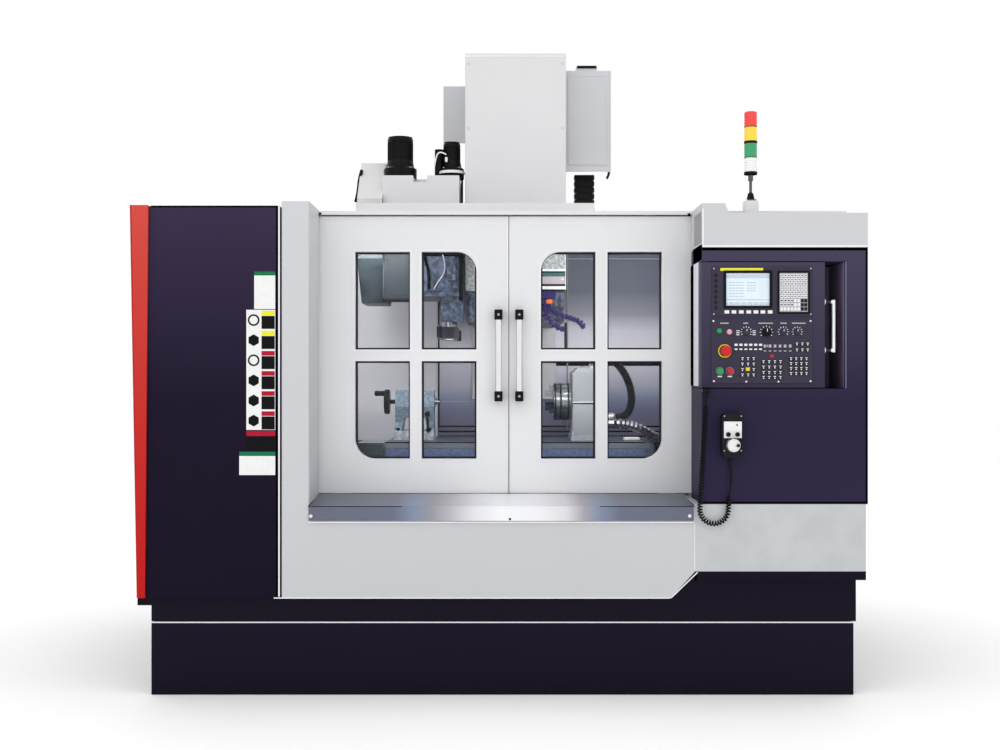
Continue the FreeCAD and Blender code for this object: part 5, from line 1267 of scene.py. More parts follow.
@dataclass
class Head(SubAssembly):
    """Spindle head, its covers, cable box and coolant lines."""

    carrier: str = "head"
    left: float = -0.157
    right: float = 0.310
    front: float = -0.470
    spindle: Pair = (0.076, -0.220)

    def build(self) -> None:
        """Dress the head and add seams, screws, the spindle's ring and the hose links."""
        self.dress({"head_casting": Shop.head_casting, "head_cover": Shop.head, "head_side_boxes": Shop.box,
            "drag_chain": Shop.chain, "coolant_nozzles": Shop.blue_hose, "spindle": Shop.bright})
        self.add(Bench.block("cover_top_lip", (self.left - 0.001, self.front - 0.0015, 2.778),
            (self.right + 0.001, self.front + 0.02, 2.784)), Shop.aluminium)
        places = [(x, self.front, z) for x in (-0.140, 0.293) for z in (1.75, 2.10, 2.45, 2.75)]
        self.screws("cover_screw", places, FRONT, 0.006, Shop.head, "head", 0.3)
        self.cable_box()
        self.nose()
        self.front_strips()
        self.side_casting()
        self.hose_links()

    def front_strips(self) -> None:
        """The cover's foot: a wiper seal, a tinted sight strip and trim strips, one over the other."""
        strips = (("upper_lip", 1786, 1796, 2.5, Shop.key_white_and_highlight), ("seal", 1779, 1786, 1.5, Shop.ink_black),
            ("sight", 1762, 1779, 2.0, Shop.teal), ("plate", 1727, 1762, 1.5, Shop.key_pale),
            ("groove", 1717, 1727, 1.0, Shop.ink_black), ("lower_lip", 1702, 1717, 3.0, Shop.key_white_and_highlight),
            ("foot", 1694, 1702, 1.5, Shop.ink_black))
        for name, low, high, proud, finish in strips:
            self.add(Bench.block(f"head_{name}_strip", (0.060, self.front - proud * MM, low * MM),
                (self.right - 0.003, self.front + 0.001, high * MM), 0.0008, 1), finish)

    def side_casting(self) -> None:
        """Rough cast pads on the cover's foot."""
        pad = Bench.strip("head_cast_pad", (-155, -472.5, 1696), (40, -469, 1900))
        front = Bench.strip("head_front_pad", (60, -472.5, 1797), (307, -469, 1900))
        self.add([pad, front], Shop.head_casting)

    def cable_box(self) -> None:
        """Door, hook, plug and cap bar of the cable box, and the chain's pins."""
        self.add(Bench.tray("cable_box_door", mm(326, -333, 2300), mm(516, -329, 2730), FRONT, 0.008,
            -0.0012), Shop.box)
        hook = Bench.hose("cable_box_hook", Bench.path(-225, (519, 2320), (527, 2290), (531, 2275),
            (519, 2252)), 0.006)
        plug = Bench.block("cable_box_plug", mm(306, -262, 2296), mm(338, -205, 2312), 0.003)
        cap = Bench.block("cable_cap_bar", mm(373, -272, 2772), mm(466, -266, 2786), 0.002)
        self.add([hook, plug, cap], Shop.black)
        for name, x, way in (("chain_pin", 0.363, LEFT), ("chain_pin_right", 0.457, RIGHT)):
            pins = [(x, -0.220, 2.256 - row * 0.030) for row in range(9)]
            pin = Bench.turned(name, pins[0], way, [(0.009, 0.0), (0.009, 0.002), (0.006, 0.003)], 14)
            self.add(Bench.spread(pin, pins), Shop.bolt)

    def nose(self) -> None:
        """Flange ring with its bolts round the spindle's nose, and the chin's plate and ribs."""
        x, y = self.spindle
        self.add(Bench.turned("spindle_flange", (x, y, 1.551), DOWN,
            [(0.092, 0.0), (0.092, 0.006), (0.088, 0.009), (0.0575, 0.009)], 48), Shop.bright)
        bolts = [(x + a, y + b, 1.542) for a, b in around(8, 0.078)]
        self.screws("spindle_flange_bolt", bolts, DOWN, 0.006, Shop.bolt)
        self.add(Bench.tray("chin_front_plate", mm(-120, -459, 1566), mm(272, -454, 1690), FRONT, 0.010,
            -0.002), Shop.slate)
        grille = [Bench.block("chin_rib", mm(-100 + 22 * k, -462, 1590), mm(-90 + 22 * k, -456, 1666), 0.002)
            for k in range(12)]
        self.add(grille, Shop.blackened)

    def hose_links(self) -> None:
        """Ball-and-socket links along both coolant hoses, with an orange joint."""
        routes = [Bench.path(-484, (228, 1640), (230, 1624), (262, 1592), (320, 1572), (370, 1556),
            (392, 1528)), Bench.path(-484, (204, 1650), (208, 1618), (234, 1562), (262, 1528), (300, 1516))]
        links = []
        for route in routes:
            for a, b in zip(route, route[1:]):
                run = Vector(b) - Vector(a)
                count = max(1, round(run.length / 0.018))
                for k in range(count):
                    spot = Vector(a) + run * ((k + 0.2) / count)
                    links.append(Bench.turned("hose_link", tuple(spot), tuple(run.normalized()),
                        [(0.0105, 0.0), (0.0142, 0.004), (0.0142, 0.009), (0.0105, 0.014)], 14))
        self.add(links, Shop.blue_hose)
        self.add(Bench.turned("hose_orange_joint", mm(231, -484, 1656), (0.05, 0, -1),
            [(0.012, 0.0), (0.016, 0.004), (0.016, 0.018), (0.012, 0.022)], 18), Shop.orange)
        self.add(Bench.turned("air_pipe_sleeve", (0.307, -0.484, 1.5482), DOWN,
            [(0.0054, 0.0), (0.0060, 0.001), (0.0060, 0.127), (0.0054, 0.128)], 16), Shop.cable)


@dataclass
class ToolChanger(SubAssembly):
    """Magazine, cam box, motors and exchange arm."""

    drum: Point = (-0.548, -0.220, 1.975)
    motor_y: float = -0.400

    def build(self) -> None:
        """Dress the changer and add fins, lids, tool holders and bolts."""
        self.dress({"magazine_housing": Shop.drum, "atc_gearbox": Shop.cam_box, "atc_motors": Shop.motor,
            "tool_magazine": Shop.magazine, "arm_shaft": Shop.bright, "exchange_arm": Shop.blackened})
        self.motor_fins()
        self.box_details()
        self.holders()
        self.arm_details()

    def motor_fins(self) -> None:
        """Upright ribs, domed cap and bolted foot flange of the motors on the cam box."""
        for name, x, radius, top, count in (("large", -0.462, 0.057, 2.416, 26),
                ("small", -0.221, 0.037, 2.393, 20)):
            ribs = []
            for k in range(count):
                rib = Bench.block(f"{name}_motor_rib", (radius - 0.002, -0.0016, 2.246),
                    (radius + 0.003, 0.0016, top - 0.026), 0.001, 1)
                rib.data.transform(Matrix.Translation((x, self.motor_y, 0.0))
                    @ Matrix.Rotation(math.tau * k / count, 4, "Z"))
                ribs.append(rib)
            ribs.append(Bench.turned(f"{name}_motor_cap", (x, self.motor_y, top - 0.028), UP,
                [(radius, 0.0), (radius + 0.003, 0.003), (radius + 0.003, 0.018), (radius - 0.006, 0.0265),
                (radius * 0.6, 0.0280), (radius * 0.2, 0.0285)], 36))
            ribs.append(Bench.turned(f"{name}_motor_flange", (x, self.motor_y, 2.222), UP,
                [(radius + 0.020, 0.0), (radius + 0.020, 0.045), (radius + 0.008, 0.055),
                (radius + 0.004, 0.080), (radius + 0.001, 0.085)], 36))
            self.add(ribs, Shop.motor)
            bolts = [(x + a, self.motor_y + b, 2.2690) for a, b in around(4, radius + 0.014, 0.5)]
            self.screws(f"{name}_motor_bolt", bolts, UP, 0.005, Shop.bolt)
        plug = Bench.block("motor_plug", mm(-251, -452, 2296), mm(-239, -428, 2318), 0.003)
        lead = Bench.hose("motor_lead", [mm(-300, -446, 2275), mm(-292, -450, 2330), mm(-268, -452, 2344),
            mm(-246, -446, 2330)], 0.0035)
        foot = Bench.turned("motor_foot_ring", mm(-221, -400, 2245), UP,
            [(0.061, 0.0), (0.061, 0.010), (0.056, 0.014), (0.050, 0.015)], 32)
        self.add([plug, lead, foot], Shop.key_white_and_highlight)
        self.add(Bench.hose("magazine_cable", [mm(-640, -420, 2262), mm(-652, -425, 2220),
            mm(-656, -425, 2160), mm(-668, -425, 2112)], 0.008), Shop.cable)

    def box_details(self) -> None:
        """Lids, bands, pipe, lead and valve on the cam box, painted shade beside the head, and the magazine's
        boss.
        """
        # Painted shade: the left lid takes the dark tone of the shaded casting.
        self.add(Bench.tray("cam_box_lid", mm(-528, -525, 1655), mm(-386, -519, 1985), FRONT, 0.012, -0.002,
            0.0015), Shop.drum_lid)
        self.add(Bench.tray("cam_box_lid_right", mm(-383, -525, 1690), mm(-190, -519, 1985), FRONT, 0.014,
            -0.002, 0.0015), Shop.cam_box)
        self.add(Bench.block("cam_box_foot", mm(-533, -523, 1640), mm(-386, -519, 1654)), Shop.ink_black)
        # Painted shade: a black band across the cam box beside the head, and black strips in the gaps along
        # the head's side.
        shade = Bench.strip("cam_box_head_shade", (-383, -526.5, 1850), (-184, -524.5, 1905))
        edge = Bench.strip("cam_box_edge_shade", (-184, -524, 1645), (-166, -520, 1985))
        pipe = Bench.hose("cam_box_pipe", [mm(-345, -532, 1900), mm(-342, -534, 1840), mm(-318, -534, 1780),
            mm(-322, -533, 1700)], 0.007)
        side = Bench.strip("cam_box_side_shade", (-178, -408, 2080), (-168, -400, 2243))
        self.add([shade, edge, pipe, side], Shop.void)
        lead = Bench.hose("cam_box_lead", [mm(-262, -534, 1868), mm(-246, -536, 1820), mm(-250, -536, 1770),
            mm(-282, -534, 1730), mm(-298, -530, 1700)], 0.0022)
        valve = Bench.tray("cam_box_valve", mm(-236, -545, 1740), mm(-200, -524, 1800), FRONT, 0.005, -0.002,
            0.002)
        self.add(lead, Shop.key_grey)
        self.add(valve, Shop.slate)
        places = [mm(x, -525, z) for x in (-519, -395, -374, -199) for z in (1699, 1840, 1976)]
        self.screws("cam_box_screw", places, FRONT, 0.0065, Shop.blackened)
        self.add(Bench.block("cam_box_band", mm(-533, -523, 1905), mm(-184, -519, 1953), 0.002),
            Shop.blackened)
        self.add(Bench.turned("magazine_boss", (-0.648, self.drum[1], self.drum[2]), LEFT,
            [(0.075, -0.001), (0.075, 0.006), (0.066, 0.010), (0.020, 0.010), (0.016, 0.004)], 40), Shop.drum)
        bolts = [(-0.648, self.drum[1] + a, self.drum[2] + b) for a, b in around(8, 0.29, 0.5)]
        self.screws("magazine_bolt", bolts, LEFT, 0.008, Shop.bolt)

    def holders(self) -> None:
        """Ends of the tool holders in the pots."""
        places = [(self.drum[0], self.drum[1] + a, self.drum[2] + b) for a, b in around(12, 0.262)]
        first = Bench.turned("tool_holder", (places[0][0] + 0.009, *places[0][1:]), RIGHT,
            [(0.024, 0.0), (0.024, 0.003), (0.020, 0.005)], 18)
        self.add(Bench.spread(first, places), Shop.bolt, "magazine_unit")

    def arm_details(self) -> None:
        """Hub nut and claw screws of the exchange arm."""
        self.add(Bench.turned("arm_hub_nut", (-0.2375, -0.220, 1.478), DOWN,
            [(0.036, -0.001), (0.036, 0.005), (0.030, 0.0079)], 6), Shop.bolt, "arm")
        places = [(-0.2375 - side * 0.035, -0.220 - side * 0.315, 1.528) for side in (-1, 1)]
        self.screws("arm_claw_screw", places, UP, 0.008, Shop.bolt, "arm", 0.25)


@dataclass
class Table(SubAssembly):
    """Saddle, table, rotary table and tailstock."""

    carrier: str = "table_unit"
    axis_y: float = -0.220
    axis_z: float = 1.177

    def build(self) -> None:
        """Dress the table unit and add bolts, covers, conduit ribs, rims and rings."""
        self.dress({"saddle": Shop.casting, "saddle_way_covers": Shop.cover, "rear_way_cover": Shop.cover,
            "worktable": Shop.iron, "table_guards": Shop.cover, "rotary_table": Shop.rotary,
            "rotary_conduit": Shop.cable, "rotary_hose": Shop.hose_metal, "tailstock": Shop.tailstock,
            "tailstock_quill": Shop.quill, "tailstock_handwheel": Shop.motor, "chuck": Shop.chuck})
        self.clamps()
        self.rotary()
        self.conduit_rings()
        self.wheel()
        self.chuck_rings()
        self.clamp_lever()

    def clamps(self) -> None:
        """Bolts in the T-slots, the table's front edge with a painted shadow line along its top, the end
        cover, and the hose's rest.
        """
        places = [(x, y, 1.0212) for x in (0.352, 0.498) for y in (-0.345, -0.095)]
        self.screws("rotary_clamp_bolt", places, UP, 0.008, Shop.bolt, "table_unit", 0.6)
        places = [(x, y, 1.0395) for x in (-0.480, -0.330) for y in (-0.302, -0.138)]
        self.screws("tailstock_clamp_bolt", places, UP, 0.009, Shop.ink_black, "table_unit", 0.8)
        self.add(Bench.strip("table_front_land", (-530, -481.2, 966), (700, -479.5, 991), 0.0006), Shop.land)
        # Painted shadow: a black line along the table's top front edge.
        self.add(Bench.strip("table_top_shadow_line", (-530, -481.4, 991.5), (671, -479.5, 996.5), 0.0006),
            Shop.ink_black)
        self.add(Bench.tray("table_end_cover", mm(-670, -484, 930), mm(-532, -479.5, 992), FRONT, 0.008,
            -0.002), Shop.drum)
        self.add(Bench.block("hose_rest", mm(592, -318, 996.5), mm(668, -276, 1010), 0.003), Shop.key_white_and_highlight)

    def rotary(self) -> None:
        """Two front covers with their screws on the rotary table's housing, and the conduit's collars."""
        upper = Bench.tray("rotary_upper_cover", mm(349, -343.5, 1180), mm(501, -339, 1318), FRONT, 0.004,
            -0.001)
        lower = Bench.block("rotary_lower_cover", mm(349, -345, 1020), mm(501, -339, 1167))
        Bench.clip(lower, lambda spot: spot.z < 1.03, 0.026)
        self.add([upper, lower], Shop.rotary_cover, "table_unit", 25.0)
        self.add(Bench.strip("rotary_cover_gap", (345, -341.5, 1167), (503, -339.5, 1176), 0.0005),
            Shop.ink_black)
        self.add(Bench.strip("rotary_cover_lip", (347, -344, 1174), (503, -339.5, 1180), 0.0008),
            Shop.key_white_and_highlight)
        places = [mm(x, y, z) for x, y, z in ((356, -343.5, 1188), (494, -343.5, 1188), (356, -343.5, 1310),
            (494, -343.5, 1310), (356, -345, 1160), (494, -345, 1160), (380, -345, 1030), (470, -345, 1030))]
        self.screws("rotary_cover_screw", places, FRONT, 0.004, Shop.bolt)
        top = Bench.turned("conduit_collar_top", (0.452, self.axis_y, 1.340), UP,
            [(0.024, -0.001), (0.024, 0.012), (0.020, 0.024), (0.0175, 0.026)], 6)
        foot = Bench.turned("conduit_collar_foot", (0.545, self.axis_y, 1.100), RIGHT,
            [(0.0235, -0.020), (0.0235, 0.004), (0.020, 0.014), (0.0175, 0.016)])
        self.add([top, foot], Shop.bolt)

    def conduit_rings(self) -> None:
        """Ribs of the corrugated conduit, along the same route as its inner tube."""
        route = Bench.path(-220, (452, 1366), (452, 1386), (516, 1400), (588, 1346), (632, 1260), (643, 1176),
            (616, 1100), (566, 1100))
        line = Bench.line("conduit_line", route, 12)
        rings, since = [], 0.0
        for before, after in zip(line, line[1:]):
            since += (after - before).length
            if since >= 0.0095:
                since = 0.0
                rings.append(Bench.turned("conduit_rib", tuple(after), tuple((after - before).normalized()),
                    [(0.0165, -0.0035), (0.0205, -0.002), (0.0205, 0.002), (0.0165, 0.0035)], 18))
        self.add(rings, Shop.cable)

    def wheel(self) -> None:
        """Turned rim and hub of the tailstock's handwheel, and its grip's end."""
        self.add(Bench.turned("handwheel_rim", (-0.5275, self.axis_y, self.axis_z), LEFT,
            [(0.0575, 0.0), (0.0595, 0.004), (0.0595, 0.018), (0.0575, 0.0235), (0.046, 0.0235),
            (0.042, 0.0228)], 48), Shop.black, "tailstock_wheel")
        self.add(Bench.turned("handwheel_grip", (-0.551, self.axis_y, self.axis_z + 0.040), LEFT,
            [(0.009, 0.0), (0.0125, 0.006), (0.0118, 0.030), (0.0135, 0.044), (0.008, 0.0485)], 20),
            Shop.black, "tailstock_wheel")

    def chuck_rings(self) -> None:
        """Grooved rim and face bolts of the chuck."""
        rings = [Bench.turned("chuck_ring", (x, self.axis_y, self.axis_z), RIGHT,
            [(0.089, 0.0), (0.0898, 0.0015), (0.0898, 0.008), (0.089, 0.0095)], 60)
            for x in (0.264, 0.290, 0.326)]
        self.add(rings, Shop.blackened, "chuck_unit")
        bolts = [(0.262, self.axis_y + a, self.axis_z + b) for a, b in around(6, 0.058, 0.5)]
        self.screws("chuck_face_bolt", bolts, LEFT, 0.007, Shop.bolt, "chuck_unit", 0.3)

    def clamp_lever(self) -> None:
        """The quill's clamp lever on the tailstock's front, with its hub and ball."""
        y = -0.312
        hub = Bench.turned("quill_clamp_hub", (-0.340, y, 1.120), FRONT,
            [(0.013, -0.012), (0.013, 0.006), (0.010, 0.010), (0.004, 0.0105)], 20)
        lever = Bench.hose("quill_clamp_lever", [(-0.340, y - 0.004, 1.120), (-0.339, y - 0.008, 1.090),
            (-0.336, y - 0.016, 1.050)], 0.006)
        ball = Bench.turned("quill_clamp_ball", (-0.3355, y - 0.017, 1.046), (0.05, -0.2, -1),
            [(0.004, -0.012), (0.010, -0.007), (0.0125, 0.0), (0.010, 0.007), (0.004, 0.012)], 16)
        self.add([hub, lever, ball], Shop.black)


@dataclass
class Console(SubAssembly):
    """Swing console with its display unit and operator panel."""

    carrier: str = "console"
    front: float = -1.174

    def build(self) -> None:
        """Dress the console and add its screen, keys, knobs and screws."""
        self.dress({"console_housing": Shop.console, "display_unit": Shop.face, "operator_panel": Shop.face,
            "console_handle": Shop.grab, "emergency_stop": Shop.stop, "cycle_start": Shop.key_green,
            "feed_hold": Shop.key_red, "override_knob": Shop.black})
        self.display()
        self.keypad()
        self.panel_keys()
        self.switches()
        self.fittings()

    def keys(
        self, name: str, columns: Sequence[float], rows: Sequence[float], size: Pair,
        finish: Finish, proud: float = 3.0,
    ) -> None:
        """A field of like keys on the panel's face.

        Args:
            name: the keys' name.
            columns: X of each column's middle, in millimetres.
            rows: Z of each row's middle.
            size: a key's width and height.
            finish: the keys' finish.
            proud: how far they stand out.
        """
        wide, tall = size
        x, z = columns[0], rows[0]
        low = (x - wide / 2, -1174 - proud, z - tall / 2)
        high = (x + wide / 2, -1173.5, z + tall / 2)
        key = Bench.tray(name, mm(*low), mm(*high), FRONT, 0.0012, -0.0004, 0.0008)
        Bench.repeat(key, [mm(a - x, 0, b - z) for a in columns for b in rows if (a, b) != (x, z)])
        self.add(key, finish)

    def display(self) -> None:
        """Bezel, lit screen and soft keys."""
        self.add(Bench.ring("screen_bezel", mm(926, 1588), mm(1104, 1722), -1.1775, -1.1735, 0.010),
            Shop.black)
        self.add(Bench.tray("screen_glass", mm(926.5, -1170.6, 1588.5), mm(1103.5, -1168.9, 1721.5), FRONT,
            0.003, -0.0003, 0.0004), Shop.screen)
        self.keys("soft_key", [929, 957.5, 987.5, 1018, 1047, 1075.5, 1105], [1563], (19, 13), Shop.key_white_and_highlight)

    def keypad(self) -> None:
        """Data keypad beside the screen: a light plate with rows of keys."""
        self.add(Bench.ring("keypad_frame", mm(1143, 1563), mm(1259, 1722), -1.1770, -1.1735, 0.008),
            Shop.black)
        self.add(Bench.tray("keypad_plate", mm(1143, -1175.5, 1563), mm(1259, -1173.5, 1722), FRONT, 0.002,
            -0.0004, 0.0005), Shop.key_grey)
        columns, rows = [1152 + 14 * k for k in range(8)], [1711 - 17 * k for k in range(9)]
        self.keys("data_key", columns, rows[:6], (11.5, 13.5), Shop.key_white_and_highlight, 4.0)
        self.keys("page_key", columns[:6], rows[6:], (11.5, 13.5), Shop.key_white_and_highlight, 4.0)
        self.keys("input_key", columns[6:], rows[6:], (11.5, 13.5), Shop.key_dark, 4.0)
        self.keys("data_legend", columns, rows[:6:2], (5, 5), Shop.ink_black, 4.6)
        self.keys("shift_legend", columns, rows[1:6:2], (7, 3), Shop.ink_black, 4.6)
        self.keys("page_legend", columns[:4], rows[6:8], (8, 5), Shop.ink_black, 4.6)
        self.add(Bench.strip("display_head_bar", (902, -1176, 1730), (1077, -1173.5, 1742), 0.0008),
            Shop.ink_yellow)

    def panel_keys(self) -> None:
        """Rows and blocks of keys on the operator panel."""
        self.keys("mode_key", [966 + 20 * k for k in range(6)], [1429], (13, 9), Shop.key_white_and_highlight)
        self.keys("mode_lamp", [966 + 20 * k for k in range(6)], [1411], (12, 6), Shop.key_white_and_highlight)
        self.keys("axis_key", [1084 + 20.5 * k for k in range(6)], [1424], (11, 12), Shop.key_grey)
        self.keys("axis_lamp", [1094, 1105], [1425], (4, 9), Shop.key_pink, 3.6)
        self.keys("axis_key_foot", [1084 + 20.5 * k for k in range(6)], [1404], (11, 4), Shop.key_grey)
        self.keys("red_key", [1112], [1383], (15, 13), Shop.key_red)
        self.keys("yellow_key", [1014], [1330], (16, 14), Shop.key_yellow)
        blocks = (("left", [992, 1038], [1372, 1350, 1328, 1306]), ("left_mid", [1015], [1372, 1350, 1306]),
            ("mid", [1078, 1101, 1124, 1147], [1360, 1338, 1316, 1296]),
            ("right", [1190, 1211, 1232, 1253], [1372, 1352, 1332, 1312]),
            ("top", [1214, 1236, 1258], [1432, 1408]))
        for name, columns, rows in blocks:
            self.keys(f"block_key_{name}", columns, rows, (15, 14), Shop.key_dark)
            self.keys(f"block_legend_{name}", columns, [z + 4 for z in rows], (10, 3.4), Shop.key_white_and_highlight, 3.6)
            self.keys(f"block_mark_{name}", columns, [z - 3 for z in rows], (5, 5), Shop.key_white_and_highlight, 3.6)
        self.keys("side_key", [884], [1712 - 22 * k for k in range(7)], (12, 14), Shop.key_dark, 2.0)
        self.keys("push_bar_green", [900], [1300], (18, 5), Shop.key_white_and_highlight, 1.5)
        self.keys("push_bar_red", [941], [1300], (18, 5), Shop.key_white_and_highlight, 1.5)
        for name, x, wide in (("lamps", 919, 34), ("mode", 1006, 20), ("feed", 1087, 60), ("rapid", 1160, 26),
                ("speed", 1222, 56)):
            self.keys(f"{name}_bar", [x], [1517], (wide, 5), Shop.key_grey, 0.8)
        self.keys("mode_bar", [974, 1040], [1486, 1478, 1470], (13, 3.6), Shop.key_white_and_highlight, 0.8)

    def switches(self) -> None:
        """Stop button's yellow ring and head, lamps, button caps and collars."""
        self.add(Bench.hoop("stop_ring", (0.9205, self.front, 1.404), FRONT, (0.0216, 0.0275), 0.004),
            Shop.key_yellow)
        self.add(Bench.turned("stop_head", (0.921, -1.2065, 1.404), FRONT,
            [(0.0195, -0.012), (0.0215, -0.008), (0.0215, -0.003), (0.017, 0.002), (0.008, 0.004)], 36),
            Shop.stop, "stop_button")
        for name, x, z, finish in (("lamp_on", 0.898, 1.4855, Shop.key_green),
                ("lamp_off", 0.939, 1.4815, Shop.key_pink)):
            self.add(Bench.turned(name, (x, self.front, z), FRONT,
                [(0.011, -0.0005), (0.011, 0.004), (0.009, 0.006), (0.007, 0.009), (0.003, 0.010)]), finish)
        for name, x, z, finish, body in (("start", 0.900, 1.322, Shop.key_green, "start_button"),
                ("hold", 0.941, 1.322, Shop.key_red, "hold_button")):
            self.add(Bench.turned(f"{name}_cap", (x, -1.188, z), FRONT,
                [(0.0128, -0.001), (0.0128, 0.0005), (0.0105, 0.0022), (0.004, 0.0024)], 28), finish, body)
        collars = [Bench.hoop("push_collar", (x, self.front, 1.322), FRONT, (0.0136, 0.0170), 0.0030)
            for x in (0.900, 0.941)]
        self.add(collars, Shop.bolt)
        self.ticks()

    def ticks(self) -> None:
        """White tick arcs round the four rotary knobs, and a white pointer on each."""
        knobs = ((1.090, 1.480, 0.017, "override", 1.1945), (1.008, 1.482, 0.013, "console", 1.1885),
            (1.159, 1.482, 0.012, "console", 1.1885), (1.216, 1.482, 0.012, "console", 1.1885))
        marks = []
        for number, (x, z, radius, body, top) in enumerate(knobs):
            for step in range(-4, 5):
                marks.append(Bench.tick("knob_tick", (0.0013, 0.0008, 0.0032), 0.0003,
                    (x, self.front - 0.0002, z), radius + 0.0072, math.radians(90 - step * 30)))
            self.add(Bench.block(f"knob_pointer_{number}", (x - 0.0012, -top - 0.001, z + 0.002),
                (x + 0.0012, -top + 0.002, z + radius - 0.002), 0.0004, 1), Shop.key_white_and_highlight, body)
        self.add(marks, Shop.key_white_and_highlight)

    def fittings(self) -> None:
        """Panel screws, painted highlight and shade on the hinge side, and the grab bar's flanges."""
        places = [mm(x, -1174, z) for x, z in ((874, 1526), (876, 1281), (1008, 1279), (1139, 1279),
            (1270, 1281), (1270, 1526))]
        self.screws("panel_screw", places, FRONT, 0.0038, Shop.key_white_and_highlight, "console", 0.3)
        places = [mm(x, -1174, z) for x in (876, 1271) for z in (1554, 1740)]
        self.screws("display_screw", places, FRONT, 0.0035, Shop.bolt, "console", 0.3)
        flanges = [Bench.turned("grab_flange", (1.331, -1.152, z), RIGHT,
            [(0.014, -0.001), (0.014, 0.003), (0.0085, 0.007), (0.0072, 0.007)]) for z in (1.407, 1.605)]
        self.add(flanges, Shop.aluminium)
        # Painted highlight: a white strip where the hinge side catches the light, with a blue-grey band of
        # painted shade beside it.
        self.add(Bench.block("console_hinge_highlight", mm(826.5, -1080, 1260), mm(829.5, -954, 1774)),
            Shop.key_white_and_highlight)
        self.add(Bench.block("console_hinge_shade", mm(826.5, -1108, 1260), mm(829.5, -1081, 1774)),
            Shop.key_blue)
        # Painted shade: a black strip at the back of the hinge side; the block above it is black too.
        strips = [Bench.block("console_hinge_gap", mm(826.5, -953, 1260), mm(829.5, -872, 1774)),
            Bench.block("console_hinge_block", mm(826.5, -1168, 1776), mm(829.5, -940, 1840))]
        self.add(strips, Shop.void)


